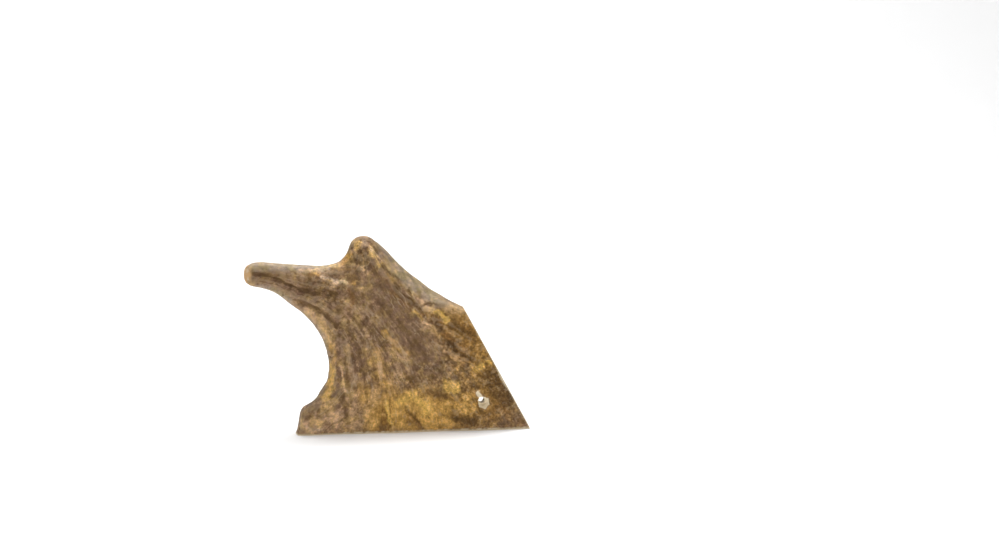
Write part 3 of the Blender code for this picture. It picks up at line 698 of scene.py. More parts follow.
# tone, width, strength, and the line of the stain
FRONT_STAINS = {
    # the long tine
    # painted highlight: the grey band along the top of the long tine
    "top of the long tine": ("stone_and_sheen", 2, 1.2, [(-18, 68.6), (-8, 67.6), (3, 67), (12, 67),
        (16.8, 68.6)]),
    "cream patch on the tine's top": ("cream", 1, 0.15, [(-14, 68.6), (-8, 68)]),
    "cream line on the long tine": ("peach", 0.5, 0.8, [(1, 66.2), (6, 66.1), (11, 66.4),
        (14, 67.2), (17.4, 68.2)]),
    "brown under the cream line": ("rust", 0.9, 0.8, [(5, 64.7), (9, 64.9), (13, 65.6), (17, 66.2),
        (21, 66)]),
    "start of the gutter": ("umber", 1.5, 0.85, [(-17.4, 65.7), (-14.6, 65.2), (-12, 64.6)]),
    "crack of the gutter": ("umber", 0.42, 0.9, [(-12.4, 64.7), (-9, 63.9), (-6.8, 63),
        (-4.8, 61.6), (-3.4, 60.8), (-1.6, 60.3), (0.4, 58.9), (2, 57.9)]),
    "shade over the gutter": ("rust", 1.1, 0.5, [(-12, 65.4), (-7, 64.2), (-3.6, 62.2)]),
    "pit in the gutter": ("umber", 0.9, 1.6, [(-3.7, 60.8), (-2.4, 60.4)]),
    "shallow end of the gutter": ("umber", 2.2, 0.5, [(2, 57.8), (5, 57.2), (9, 57.4)]),
    "brown belly of the long tine": ("plum", 2.4, 0.7, [(-15.5, 62.2), (-9, 61), (-3, 57.8),
        (3, 55.4), (9, 53.8)]),
    "ring around the worn tip": ("umber", 0.5, 1, [(-17.4, 67.4), (-16.9, 65.2), (-17.6, 62.6)]),
    # painted reflection: the pale grey rim under the long tine, where it faces the white table
    "grey rim under the long tine": ("stone_and_sheen", 1.6, 1.2, [(-15, 60), (-11, 59), (-7, 57),
        (-2.4, 54)]),
    # its root
    "dark root of the long tine": ("umber", 3.4, 0.8, [(5, 60.6), (11, 58.6), (14.5, 56)]),
    "black specks of the root": ("umber", 0.9, 1.3, [(11.8, 57.8), (13.2, 55.8)]),
    "pale streak into the palm": ("ochre", 0.8, 1, [(8.4, 64.4), (11.6, 62.9), (15, 61.6),
        (18.6, 61.4), (23, 60.4)]),
    "cream on the pale streak": ("cream", 0.75, 1.4, [(10, 63.8), (13, 62.6), (16.4, 61.6),
        (20, 61.2)]),
    "olive patch of the root": ("ochre", 1.1, 0.6, [(14, 66.6), (16.6, 67)]),
    "dark second gutter": ("umber", 1, 0.4, [(3.6, 52.8), (7, 51.6), (9.6, 49.8), (12, 47.2),
        (14.8, 44.8)]),
    "shade over the second gutter": ("umber", 1.4, 0.4, [(4, 53.8), (8, 53.6), (12.4, 51.6)]),
    "brown ridge between the gutters": ("plum", 1.4, 1, [(-4, 58.2), (0, 56.6), (5, 54.8),
        (9, 53.4)]),
    # the rim of the bay
    "upper ochre rim": ("peach", 1.7, 1.2, [(4, 49.4), (7.4, 47.6), (9.4, 45)]),
    "peach rim": ("peach", 1.9, 0.85, [(5.2, 48.8), (8.6, 45.6), (10.8, 42), (12.4, 38.6)]),
    "rim of the bay": ("ochre", 1.6, 0.7, [(12.6, 38), (14.2, 33), (14.6, 29)]),
    "gold rim": ("gold", 1.6, 1.1, [(14, 26.4), (13.8, 21), (12.6, 17), (10.6, 14.2)]),
    "brown spot in the gold rim": ("umber", 1.1, 0.4, [(11.4, 13.2), (12.4, 12.4)]),
    "plum by the foot": ("plum", 1.5, 0.6, [(17, 17), (16.6, 14), (17.4, 11.6)]),
    "pale line by the bay": ("peach", 0.5, 1.2, [(17.5, 27), (17.9, 23.6), (18.3, 20.6),
        (18.9, 17.8)]),
    "dark groove by the bay": ("umber", 0.9, 0.9, [(18.8, 31), (19.4, 26), (19.9, 21.6)]),
    # painted reflection: a grey fringe along the bay's rounded edge
    "edge of the bay": ("slate_and_sheen", 0.9, 0.9, [(2, 49), (8.6, 42.4), (12, 34), (12.6, 26),
        (11.2, 18.6), (5, 11.8)]),
    "peach inside the bay's rim": ("peach", 1.8, 0.5, [(16, 36.6), (19.4, 33.6), (20.4, 27)]),
    # the left of the palm
    "plum patches": ("plum", 2.4, 1, [(21.6, 36), (23.6, 34)]),
    "plum band": ("plum", 1.4, 1.2, [(25.8, 30), (26.6, 26), (27, 23.6)]),
    "dark specks by the band": ("umber", 0.9, 1, [(28, 24.6), (31, 26)]),
    "dark patch over the foot": ("umber", 1.5, 0.8, [(20.6, 19.6), (23, 18.8), (25, 19.4)]),
    "pink of the lower left": ("peach", 4, 1, [(4, 3), (10, 6.6), (16, 6), (23, 3.6)]),
    "pink streak of the foot": ("cream", 1, 0.8, [(3.6, 3), (6, 2.2), (9, 2)]),
    "pink edge of the foot": ("peach", 1.2, 0.8, [(5, 1), (12, 1.4), (18, 1)]),
    "dark spots of the lower left": ("umber", 1, 0.85, [(1.9, 7.4), (4.2, 7.6)]),
    "second dark spots": ("umber", 0.9, 0.6, [(7.6, 7.9), (9.8, 7.2)]),
    "plum edge of the foot": ("plum", 1, 1, [(3.4, 11.6), (6, 12.8)]),
    "dark corner of the foot": ("umber", 1.2, 0.5, [(0.6, 1), (2, 1.4)]),
    "dark streak of the foot": ("umber", 1, 0.7, [(19, 9), (19.6, 5), (20, 1.4)]),
    "ochre of the lower left": ("ochre", 4.2, 0.9, [(25.6, 17), (28.4, 11), (29, 4)]),
    # partly the bark's peach and partly painted light: it lifts the lower left as bounce light
    # from the table would
    "peach of the lower left": ("peach", 3, 0.6, [(22, 15), (25, 8), (30, 14)]),
    "bright tan": ("ochre", 2, 0.8, [(31.4, 33), (32.8, 29), (32.8, 23.6)]),
    "peach on the bright tan": ("peach", 1.3, 0.8, [(32, 30), (33, 26), (32.8, 22)]),
    "light of the lower palm": ("ochre", 3.6, 0.6, [(30, 30), (34, 24), (37, 18)]),
    "peach dashes of the lower palm": ("peach", 2.4, 0.5, [(36.4, 27), (39.6, 24), (41, 18.6)]),
    "light diagonal": ("ochre", 1.2, 0.55, [(31.6, 31.8), (33, 24), (34.8, 18.6), (36.2, 14.8),
        (38, 13.4)]),
    "bright streak": ("gold", 0.7, 1.2, [(35.4, 12.8), (35.9, 10), (36.1, 7.4), (36.6, 5.2),
        (37.6, 3.8)]),
    "rust beside the streak": ("rust", 1.3, 1, [(34.2, 11), (34.6, 7), (34, 3.6)]),
    # the middle of the palm
    "pale middle band": ("peach", 1.7, 0.4, [(26.6, 66.5), (26.2, 60), (26.8, 54)]),
    "dark red patch": ("rust", 1.4, 1, [(21, 57.4), (22.2, 54.6), (22.6, 51.6)]),
    "plum shade over the palm": ("plum", 4.6, 1.3, [(34.4, 57.6), (39, 52), (42, 47.6)]),
    "brown shade over the palm": ("umber", 4, 0.35, [(36, 56), (40, 52)]),
    "dark spots over the palm": ("umber", 1.3, 0.75, [(31, 59.6), (34, 59)]),
    "smooth middle": ("plum", 6.5, 0.8, [(44, 41), (50, 34), (53, 28)]),
    "tan of the middle rib": ("ochre", 1.5, 0.9, [(34.6, 40.8), (37.4, 37.4), (40, 34.4),
        (43.6, 31.6)]),
    "peach under the middle rib": ("peach", 1.3, 0.9, [(36.6, 33.6), (39.4, 31.6), (42.6, 29.6)]),
    "dark under the middle rib": ("umber", 0.9, 0.6, [(38, 35.8), (40.8, 32.6), (44, 30.8)]),
    "dark specks in the middle": ("umber", 1.7, 0.95, [(43.6, 22), (47.6, 21)]),
    "plum specks": ("plum", 1.3, 0.9, [(56.4, 28), (57.4, 23.6)]),
    # the gold of the foot
    "warm lower right": ("amber", 12, 1.1, [(36, 8), (60, 9), (76, 14), (74, 34), (66, 43)]),
    "gold": ("ochre", 4.4, 1.4, [(38.6, 10), (46, 13), (52, 8.6)]),
    "bright gold": ("gold", 2, 1, [(40.6, 12.6), (45, 14.6), (49.6, 12), (51, 8)]),
    "gold of the foot": ("ochre", 4, 0.9, [(54, 8), (60, 9.6), (68, 10.6)]),
    "ochre of the foot's middle": ("ochre", 2.4, 1.5, [(52, 3), (56, 2.8), (60, 3)]),
    "plum streak in the gold": ("umber", 0.75, 0.9, [(42.8, 10.2), (44.8, 7.6), (47, 5.2),
        (48.8, 3), (49.8, 1)]),
    "rust streak in the gold": ("rust", 1.3, 0.6, [(42.4, 8.4), (45.6, 5.4), (48.4, 2.6)]),
    "gold by the foot": ("ochre", 2.2, 0.9, [(38.6, 5.6), (42, 3), (45, 1.4)]),
    "pale round patch": ("gold", 2.3, 1.7, [(60, 18.4), (62.6, 17.4)]),
    "dark over the gold": ("umber", 1.3, 0.9, [(52.6, 16.6), (55.4, 14.8), (59, 14.6)]),
    "dark foot": ("umber", 1.9, 1.1, [(62.6, 5.6), (67, 4.6), (70.6, 3.6)]),
    # the short tine
    "short tine's top": ("plum", 1.7, 0.7, [(26, 78), (29.6, 77), (32, 74)]),
    "brown streak of the short tine": ("plum", 0.7, 1, [(30.4, 75.2), (32.6, 73.4), (35, 71.2)]),
    "short tine's yellow patch": ("gold", 1.2, 0.75, [(23.8, 74.6), (25.2, 76.6)]),
    # painted reflection: grey along the short tine's left edge
    "short tine's grey side": ("slate_and_sheen", 1.2, 0.9, [(19.4, 71.6), (20.8, 74.4), (22.6, 77.2)]),
    "short tine's ochre foot": ("ochre", 1.1, 1.1, [(18.6, 68.4), (20.2, 70.2), (22, 72)]),
    "short tine's dark pits": ("umber", 2.1, 0.7, [(23.6, 71.6), (26.4, 72.2), (27.8, 71)]),
    "yellow ridge": ("gold", 1.2, 0.8, [(28.6, 73.8), (30.6, 71.4), (32.2, 69), (33, 67.4)]),
    "cream on the ridge": ("cream", 0.7, 0.3, [(27.6, 75.4), (29.6, 74), (31, 71)]),
    # the flank, grey bark with painted sheen where it faces up
    "flank": ("slate_and_sheen", 3.6, 1.15, [(34.5, 73.6), (38, 69.8), (43, 64.4), (50, 57.8), (54, 55.2),
        (60, 52.8)]),
    "shade on the flank's end": ("plum", 1.5, 0.9, [(58, 53.8), (63, 51.6)]),
    # painted highlight: paler grey over the left of the flank
    "light of the flank": ("stone_and_sheen", 2.3, 1.3, [(38.6, 66.4), (43.2, 62.2), (47.6, 58.6)]),
    "pink of the flank": ("peach", 2, 0.6, [(34.8, 69.6), (37.4, 67.2), (39.4, 65)]),
    "pale flank": ("cream", 2.2, 0.34, [(40.4, 65.4), (44, 61.8), (47.6, 58.4), (52, 55.8)]),
    "peach end of the flank": ("slate_and_sheen", 1.6, 0.8, [(55, 53.4), (60, 52), (65, 49.6)]),
    "upper edge of the flank": ("umber", 0.5, 0.9, [(33.8, 67.6), (36.2, 65.2), (38.6, 63.4),
        (41, 61.4)]),
    "dark edge of the flank": ("umber", 1, 1.4, [(39.4, 59), (40.9, 56.6), (42.7, 54.9),
        (45, 53.6), (47, 51.8), (49, 50)]),
    "rust beside the edge": ("rust", 1.4, 0.8, [(36.2, 61.8), (38.4, 57.4), (42, 53.4),
        (45.6, 49.8)]),
    "shade left of the edge": ("umber", 1.1, 0.4, [(38, 61.2), (40.6, 56.6), (43.2, 53.6),
        (46.2, 50.2)]),
    "gold beside the edge": ("ochre", 0.8, 0.6, [(34.6, 65.2), (36.6, 63.2), (38.6, 61)]),
    "black spot of the edge": ("umber", 0.7, 1.4, [(44.8, 57.4), (45.4, 56)]),
    "orange by the edge": ("rust", 1, 1.2, [(48, 51.8), (49.2, 50.4)]),
    "peach by the edge": ("peach", 0.7, 1, [(48.4, 53.8), (50, 52.4)]),
    "crack at the flank's end": ("umber", 0.4, 0.9, [(50.2, 51), (53, 51.5), (56.4, 51.1)]),
    # the crusty right side
    "peach ledge": ("peach", 1.1, 1.3, [(50.6, 49.9), (53.4, 49.5), (56, 48.6)]),
    "yellow streak": ("gold", 1, 1.6, [(55.4, 48.8), (57.6, 47), (59.8, 44.8)]),
    "ochre of the spur": ("peach", 2.2, 0.8, [(60, 49.6), (65, 48.4)]),
    "rust under the ledge": ("rust", 1.3, 1.2, [(50.6, 47.8), (54, 46.8), (57, 44.6)]),
    "yellow flecks of the crust": ("gold", 0.8, 0.9, [(46.8, 48.6), (48.4, 47.4), (49.6, 45.6)]),
    "crusty patch": ("peach", 1.4, 1.2, [(50.6, 44.4), (52.4, 42.6), (54.6, 41.2)]),
    "behind the crusty patch": ("umber", 1.1, 1.2, [(54, 45.4), (56.4, 43.4), (58, 40.6)]),
    "rust of the right side": ("rust", 3, 0.9, [(61, 43), (66, 42), (70, 37.4)]),
    "umber by the right cut": ("umber", 1.6, 0.7, [(62.6, 42.4), (66, 41), (69.4, 38.4)]),
    "dark slot": ("umber", 1.4, 1.6, [(60.6, 35.8), (63, 33.6), (66, 31.4), (69, 29.4)]),
    "rust over the slot": ("rust", 1.6, 1.2, [(59, 39), (63.4, 35.4), (67, 33)]),
    "gold of the right side": ("ochre", 2.6, 0.5, [(62, 26), (67, 23.4), (72.4, 27.4)]),
    "olive flecks by the right cut": ("gold", 1.2, 0.9, [(71.6, 25), (74, 26)]),
    "orange flecks by the right cut": ("gold", 0.8, 1.2, [(75.4, 28.2), (77.4, 27.4)]),
    "dark lower right": ("umber", 3.8, 1.7, [(77.6, 20.6), (80.6, 16.6), (83.6, 13.4)]),
    "dark flecks over the hole": ("umber", 1, 0.9, [(69.4, 19.4), (72, 17)]),
    "brown behind the hole": ("rust", 5, 0.6, [(80, 9), (88, 4)]),
}
BACK_STAINS = {
    "warm back": ("amber", 12, 0.9, [(30, 10), (56, 12), (74, 22)]),
    "back ochre by the bay": ("ochre", 3, 0.8, [(9, 45), (14, 34), (15, 24), (9, 9)]),
    "back gutter stain": ("umber", 1.5, 0.65, GUTTERS["back gutter of the long tine"][3]),
    "back vein stain": ("umber", 1.5, 0.35, GUTTERS["back gutter of the short tine"][3]),
    "back plum shade": ("plum", 6, 0.9, [(34, 56), (44, 44), (54, 33)]),
    "back gold": ("ochre", 5, 0.8, [(34, 12), (48, 9), (64, 12)]),
    "back bright gold": ("gold", 2, 0.8, [(40, 9), (50, 12)]),
    "back pale streaks": ("peach", 1.2, 0.8, [(28, 48), (35, 36), (40, 21), (41, 8)]),
    "back dark corner": ("umber", 6, 0.8, [(72, 30), (80, 16)]),
    "back rust": ("rust", 4, 0.8, [(56, 44), (66, 38), (60, 26)]),
    "back grey foot": ("stone_and_sheen", 5, 0.4, [(8, 6), (20, 10)]),
    "back short tine": ("ochre", 3, 0.8, [(24, 76), (29, 71)]),
}
# These stains run round the narrow edge to the other side
ALL_ROUND = ("top of the long tine", "edge of the bay", "short tine's grey side", "flank",
             "shade on the flank's end")


def stain_amounts(points, facing):
    """For each tone, how strongly it stains each point, with ragged edges."""
    places = (points[:, [0, 2]] + 0.7 * wobble(points, 0.45, (3.0, 33.0))
              + 0.4 * wobble(points, 1.4, (13.0, 43.0)))
    amounts = {tone: np.zeros(len(points)) for tone in PAINTS}
    for side, stains in ((FRONT, FRONT_STAINS), (BACK, BACK_STAINS)):
        on_side = smooth_step(facing[:, 1] * side, -0.25, 0.25)
        for name, (tone, width, strength, line) in stains.items():
            apart = nearest_on_line(places, smooth_line(line, 4))[0]
            mask = strength * np.exp(-(apart / width) ** 2)
            if name not in ALL_ROUND:
                mask *= on_side
            both = 1 - (1 - amounts[tone].clip(0, 1)) * (1 - mask.clip(0, 1))
            amounts[tone] = np.maximum(both, np.maximum(amounts[tone], mask))
    return amounts


def point_value(mesh, name, values):
    made = mesh.attributes.new(name, "FLOAT", "POINT")
    made.data.foreach_set("value", np.ascontiguousarray(values, dtype=np.float32))


def point_vector(mesh, name, vectors):
    made = mesh.attributes.new(name, "FLOAT_VECTOR", "POINT")
    made.data.foreach_set("vector", np.ascontiguousarray(vectors, dtype=np.float32).ravel())


TIP_WEAR_POINT = np.array((-19.8, -6.1, 63.9))
TIP_WEAR_CENTRE = np.array((-19.3, -3.5, 65.2))
TIP_WEAR_FACING = np.array((-0.93, -0.36, 0.04)) / math.sqrt(0.93 ** 2 + 0.36 ** 2 + 0.04 ** 2)
TIP_WEAR_WIDTH = 2.6
TIP_WEAR_HEIGHT = 4.0
GRAIN_STRETCH = (100, 0.6, 0.7)  # across the grain, along it and through the piece
HOLLOW_DEPTH = 0.05  # mm below its surroundings at which the painted shade in a hollow is darkest
WIDE_HOLLOW_DEPTH = 0.22
FOOT_CUT_REACH = 0.02
RIGHT_CUT_REACH = 0.06
FRAY = 0.62  # how wide the saw bared the bone beside its cuts
FRAY_CHANGE = 0.2
FRAYED_HEIGHT = 20.5
FRAYED_LENGTH = 4.5
BROKEN_REACH = 8.0


def mean_around(values, edges, rounds):
    for _ in range(rounds):
        values = neighbour_mean(values, edges)
    return values


def hollowness(points, facing, edges, rounds):
    """How far each point lies below the mean of the points around it, in mm."""
    return ((mean_around(points, edges, rounds) - points) * facing).sum(axis=1)


def inside_of_bark(points, on_cut):
    """How far each point of a saw cut lies from the bark, in mm."""
    bark = search_tree(points, np.flatnonzero(~on_cut).tolist())
    inside = np.zeros(len(points))
    for index in np.flatnonzero(on_cut).tolist():
        inside[index] = bark.find(points[index].tolist())[2]
    return inside


def beside_cuts(points, from_foot, from_right):
    """1 where the saw bared a ragged strip of bone beside its cuts."""
    frayed = FRAY + FRAY_CHANGE * noise_at(points, (0.8,) * 3, 17.0)
    at_foot = frayed + FRAY_CHANGE * smooth_step(points[:, 0], 14.0, 24.0)
    at_right = ((frayed + FRAY_CHANGE)
                * np.exp(-((points[:, 2] - FRAYED_HEIGHT) / FRAYED_LENGTH) ** 2))
    return np.maximum(smooth_step(at_foot - from_foot, 0.0, 0.25),
                      smooth_step(at_right - from_right, 0.0, 0.25))


def worn_tip(points):
    """1 on the oval that is worn off the long tine's tip."""
    from_wear = (TIP_WEAR_POINT - points) @ TIP_WEAR_FACING
    offset = points - TIP_WEAR_CENTRE
    from_oval = np.hypot(np.hypot(offset[:, 0], 0.4 * offset[:, 1]) / TIP_WEAR_WIDTH,
                         offset[:, 2] / TIP_WEAR_HEIGHT)
    from_oval = from_oval + 0.12 * noise_at(points, (0.7,) * 3, 51.0)
    return smooth_step(from_wear, 1.6, 0.5) * smooth_step(from_oval, 1.15, 0.85)


def fresh_bone(points):
    """1 where the drill bared fresh bone, in the hole and around its mouth."""
    broken = np.array([broken_depth(Vector(point)) if point[1] < 0 else 0.0
                       for point in points.tolist()])
    near = np.linalg.norm(points - np.array(CRATER_CENTRE), axis=1) < BROKEN_REACH
    offset = points - np.array(HOLE_MOUTH)
    heading = np.array(HOLE_HEADING)
    off_axis = np.linalg.norm(offset - (offset @ heading)[:, None] * heading, axis=1)
    return np.maximum(smooth_step(np.where(near, broken, 0.0), 0.04, 0.25),
                      smooth_step(off_axis, HOLE_DIAMETER / 2 + 0.12, HOLE_DIAMETER / 2 + 0.02))


points = read_vectors(antler_mesh, "co")
facing = read_vectors(antler_mesh, "normal")
edges = read_edges(antler_mesh)
for tone, amount in stain_amounts(points, facing).items():
    point_value(antler_mesh, tone, amount)

across, from_tip, palm_width = growth_place(points)
point_vector(antler_mesh, "grain",
             np.stack([across, from_tip, points[:, 1]], axis=1) * GRAIN_STRETCH)
point_value(antler_mesh, "palm", palm_width)
hollow = (hollowness(points, facing, edges, 2) / HOLLOW_DEPTH
          + hollowness(points, facing, edges, 10) / WIDE_HOLLOW_DEPTH)
point_value(antler_mesh, "hollow", np.clip(hollow, -1, 1))
point_value(antler_mesh, "rough", roughness_of_place(points))

from_foot, from_right = inside_cuts(points)
on_cut = ((from_foot < FOOT_CUT_REACH) & (facing[:, 2] < -0.5)) | (
    (from_right < RIGHT_CUT_REACH) & (facing @ np.array(past_right_cut) > 0.5))
point_value(antler_mesh, "sawn", np.where(on_cut, 1.0,
                                          beside_cuts(points, from_foot, from_right)))
point_value(antler_mesh, "inside", inside_of_bark(points, on_cut))
point_value(antler_mesh, "worn", worn_tip(points))
point_value(antler_mesh, "bare", fresh_bone(points))

# ---- The finished antler ----
# The bark is hard, dry and a little greasy from handling. The saw cuts show a ring of dense
# cream bone and a slightly open, browner core.

# The bare bark, from its darkest patches to its lightest
BARK = ((0.32, (0.145, 0.082, 0.036)), (0.43, (0.200, 0.119, 0.060)),
        (0.51, (0.246, 0.154, 0.080)), (0.59, (0.306, 0.197, 0.095)),
        (0.70, (0.420, 0.274, 0.136)))
UMBER = PAINTS["umber"][0]
CREAM = PAINTS["cream"][0]
SAWN_BONE = (0.760, 0.640, 0.440)
CORE_BONE = (0.460, 0.350, 0.220)
PORE_BROWN = (0.205, 0.122, 0.072)
FRESH_BONE = (0.950, 0.830, 0.610)
WORN_BONE = (0.640, 0.390, 0.180)
PLUM_CAST = (1.02, 0.98, 1.08)
OLIVE_CAST = (1.025, 0.995, 0.82)
CUT_EDGE_ANGLE = 50.0
VEIN_WIDTH = 0.022
SHEEN = 0.13
BUMP_HEIGHT = 0.00018
# How fine, how detailed and how rough each pattern is, and how far it is shifted so that it
# differs from the others. Those of fibres, threads and veins follow the grain.
PATTERNS = {
    "wide shades": (110.0, 3.0, 0.6),
    "blotches": (420.0, 3.0, 0.5),
    "speckles": (1000.0, 3.0, 0.6),
    "patches": (300.0, 4.0, 0.55, (0.4, 0.1, 0.7)),
    "stain edges": (1100.0, 2.0, 0.5),
    "casts": (260.0, 3.0, 0.6, (0.6, 0.8, 0.1)),
    "veined places": (120.0, 2.0, 0.5, (0.2, 0.9, 0.5)),
    "pale veins": (0.16, 2.0, 0.5),
    "dark veins": (0.14, 2.0, 0.5, (9.0, 4.0, 7.0)),
    "dark specks": (1000.0, 2.0, 0.5),
    "pale flecks": (900.0, 2.0, 0.5, (0.3, 0.2, 0.2)),
    "saw grit": (1500.0, 3.0, 0.6),
    "pores": (1900.0, 2.0, 0.5),
    "core edge": (260.0, 4.0, 0.55),
    "chips": (700.0, 2.0, 0.5, (0.1, 0.5, 0.3)),
    "wear": (500.0, 4.0, 0.55),
    "fibres of the tines": (0.26, 4.0, 0.55),
    "fibres of the palm": (0.45, 4.0, 0.55),
    "threads of the tines": (0.6, 3.0, 0.6),
    "threads of the palm": (1.1, 3.0, 0.6),
    "fine fibres of the tines": (0.75, 3.0, 0.6),
    "fine fibres of the palm": (1.6, 3.0, 0.6),
    "fine grit": (2600.0, 3.0, 0.6),
}


finish = bpy.data.materials.new("weathered antler")
finish.use_nodes = True
tree = finish.node_tree


def add_node(kind, inputs=None, **settings):
    made = tree.nodes.new(kind)
    for name, value in settings.items():
        setattr(made, name, value)
    for name, value in (inputs or {}).items():
        if isinstance(value, bpy.types.NodeSocket):
            tree.links.new(value, made.inputs[name])
        else:
            made.inputs[name].default_value = value
    return made


def vector_calc(operation, first, second):
    slot = "Scale" if operation == "SCALE" else 1
    made = add_node("ShaderNodeVectorMath", {0: first, slot: second}, operation=operation)
    return made.outputs["Vector"]


def pattern(vector, name):
    """The named pattern, from about 0.3 to 0.7, in the vector's space."""
    scale, detail, roughness, *shift = PATTERNS[name]
    if shift:
        vector = vector_calc("ADD", vector, *shift)
    made = add_node("ShaderNodeTexNoise", {"Vector": vector, "Scale": scale,
                                           "Detail": detail, "Roughness": roughness})
    return made.outputs["Fac"]


def value_of(name):
    return add_node("ShaderNodeAttribute", attribute_name=name).outputs["Fac"]


def calc(operation, *values):
    made = tree.nodes.new("ShaderNodeMath")
    made.operation = operation
    for socket, value in zip(made.inputs, values):
        if isinstance(value, bpy.types.NodeSocket):
            tree.links.new(value, socket)
        else:
            socket.default_value = value
    return made.outputs["Value"]


def times(first, second):
    return calc("MULTIPLY", first, second)


def add_scaled(value, factor, base):
    """The value times the factor, added to the base."""
    return calc("MULTIPLY_ADD", value, factor, base)


def from_half(value):
    return calc("SUBTRACT", value, 0.5)


def opposite(value):
    return calc("SUBTRACT", 1.0, value)


def fade(value, low, high):
    """0 below the low value, 1 above the high one, smooth between."""
    made = add_node("ShaderNodeMapRange", {"Value": value, "From Min": low, "From Max": high},
                    interpolation_type="SMOOTHSTEP")
    return made.outputs["Result"]


def colour_mix(amount, below, above):
    made = add_node("ShaderNodeMix", data_type="RGBA")
    for socket, value in ((made.inputs[0], amount), (made.inputs[6], below),
                          (made.inputs[7], above)):
        if isinstance(value, bpy.types.NodeSocket):
            tree.links.new(value, socket)
        elif isinstance(value, tuple):
            socket.default_value = (*value, 1.0)
        else:
            socket.default_value = value
    return made.outputs[2]


def lay_over(colour, paint, mask, amount):
    """The colour with a paint over it at the mask. The amount is how much it hides at most."""
    return colour_mix(times(mask, amount), colour, paint)


def patchy(mask, breakup):
    """A stain's mask, broken up by noise at its edges."""
    return fade(add_scaled(from_half(breakup), 2.2, mask), 0.05, 1.2)


def bare_bark(place, fibre):
    """Patches of darker and lighter brown, some of them drawn out along the grain."""
    level = add_scaled(pattern(place, "patches"), 0.76, times(fibre, 0.24))
    ramp = tree.nodes.new("ShaderNodeValToRGB")
    stops = ramp.color_ramp.elements
    while len(stops) < len(BARK):
        stops.new(0.5)
    for stop, (position, colour) in zip(stops, BARK):
        stop.position = position
        stop.color = (*colour, 1.0)
    tree.links.new(level, ramp.inputs["Fac"])
    return ramp.outputs["Color"]


def stained_bark(place, fibre):
    """The bare bark with the stains of each tone over it."""
    colour = bare_bark(place, fibre)
    breakup = add_scaled(pattern(place, "blotches"), 0.6, times(fibre, 0.25))
    breakup = add_scaled(pattern(place, "stain edges"), 0.15, breakup)
    for tone, (paint, amount) in PAINTS.items():
        colour = lay_over(colour, paint, patchy(value_of(tone), breakup), amount)
    return colour


def mottling(place, fibre, thread):
    """How much lighter or darker than its tone the bark is, around 1."""
    speckle = fade(pattern(place, "speckles"), 0.38, 0.62)
    thread_share = add_scaled(value_of("palm"), -0.45, 1.4)
    total = times(from_half(speckle), 0.42)
    for value, share in ((pattern(place, "blotches"), 1.05), (fibre, 0.5),
                         (thread, thread_share), (pattern(place, "wide shades"), 1.0)):
        total = add_scaled(from_half(value), share, total)
    in_rough = add_scaled(value_of("rough"), 0.95, 0.40)
    # Less mottling under the flank's grey tone, its grey bark and painted sheen
    on_slate_and_sheen = add_scaled(value_of("slate_and_sheen"), -0.5, 1.0)
    return calc("POWER", 3.0, times(total, times(in_rough, on_slate_and_sheen)))


def with_cast(colour, place, warm):
    """Tint the bark plum in some places and olive in the others and where it is warm."""
    turn = fade(pattern(place, "casts"), 0.40, 0.60)
    cast = colour_mix(calc("MAXIMUM", turn, warm), PLUM_CAST, OLIVE_CAST)
    return vector_calc("MULTIPLY", colour, cast)


def with_veins(colour, place, grain, warm):
    """Add thin veins along the grain of the palm, pale in some places and dark in others."""
    pale = fade(pattern(place, "veined places"), 0.42, 0.62)
    veined = times(value_of("palm"), opposite(warm))
    for name, places, amount, paint in (("pale veins", pale, 0.3, CREAM),
                                        ("dark veins", opposite(pale), 0.4, UMBER)):
        from_line = calc("ABSOLUTE", from_half(pattern(grain, name)))
        vein = opposite(fade(from_line, 0.3 * VEIN_WIDTH, VEIN_WIDTH))
        colour = lay_over(colour, paint, times(times(vein, places), veined), amount)
    return colour


def with_specks_and_painted_shade(colour, place):
    """Add dark specks, pale flecks, painted shade in the hollows and paler high places."""
    hollow = value_of("hollow")
    for mask, amount, paint in (
            (fade(pattern(place, "dark specks"), 0.66, 0.74), 0.5, UMBER),
            (fade(pattern(place, "pale flecks"), 0.66, 0.76), 0.22, CREAM),
            # painted shade: umber laid into the hollows and pits
            (fade(hollow, 0.2, 1.0), 0.5, UMBER),
            (fade(times(hollow, -1.0), 0.25, 1.0), 0.14, CREAM)):
        colour = lay_over(colour, paint, mask, amount)
    return colour


def bark_colour(place, grain, fibre, thread):
    warm = calc("MINIMUM", value_of("amber"), 1.0)
    colour = vector_calc("SCALE", stained_bark(place, fibre), mottling(place, fibre, thread))
    colour = with_cast(colour, place, warm)
    colour = with_veins(colour, place, grain, warm)
    return with_specks_and_painted_shade(colour, place)


def sawn_bone(place):
    """Cream bone inside the saw cuts, with a browner core full of pores."""
    core_start = add_scaled(pattern(place, "core edge"), 1.2, value_of("inside"))
    pores = fade(pattern(place, "pores"), 0.56, 0.64)
    dense = lay_over(SAWN_BONE, CORE_BONE, pattern(place, "saw grit"), 0.35)
    core = lay_over(CORE_BONE, PORE_BROWN, pores, 0.55)
    return colour_mix(fade(core_start, 2.6, 3.6), dense, core)


def bone_colour(place, colour):
    """Lay the sawn, drilled and worn bone over the bark."""
    chipped = fade(pattern(place, "chips"), 0.48, 0.66)
    fresh = lay_over(FRESH_BONE, SAWN_BONE, chipped, 0.8)
    worn = colour_mix(fade(pattern(place, "wear"), 0.45, 0.6), WORN_BONE, CREAM)
    for name, bone, amount in (("sawn", sawn_bone(place), 0.92), ("bare", fresh, 0.95),
                               ("worn", worn, 0.9)):
        colour = lay_over(colour, bone, value_of(name), amount)
    return colour


def along_grain(grain, name):
    """A pattern that follows the grain, as fine on the wide palm as on the tines."""
    made = add_node("ShaderNodeMix", {0: value_of("palm"),
                                      2: pattern(grain, name + " of the tines"),
                                      3: pattern(grain, name + " of the palm")},
                    data_type="FLOAT")
    return made.outputs[0]


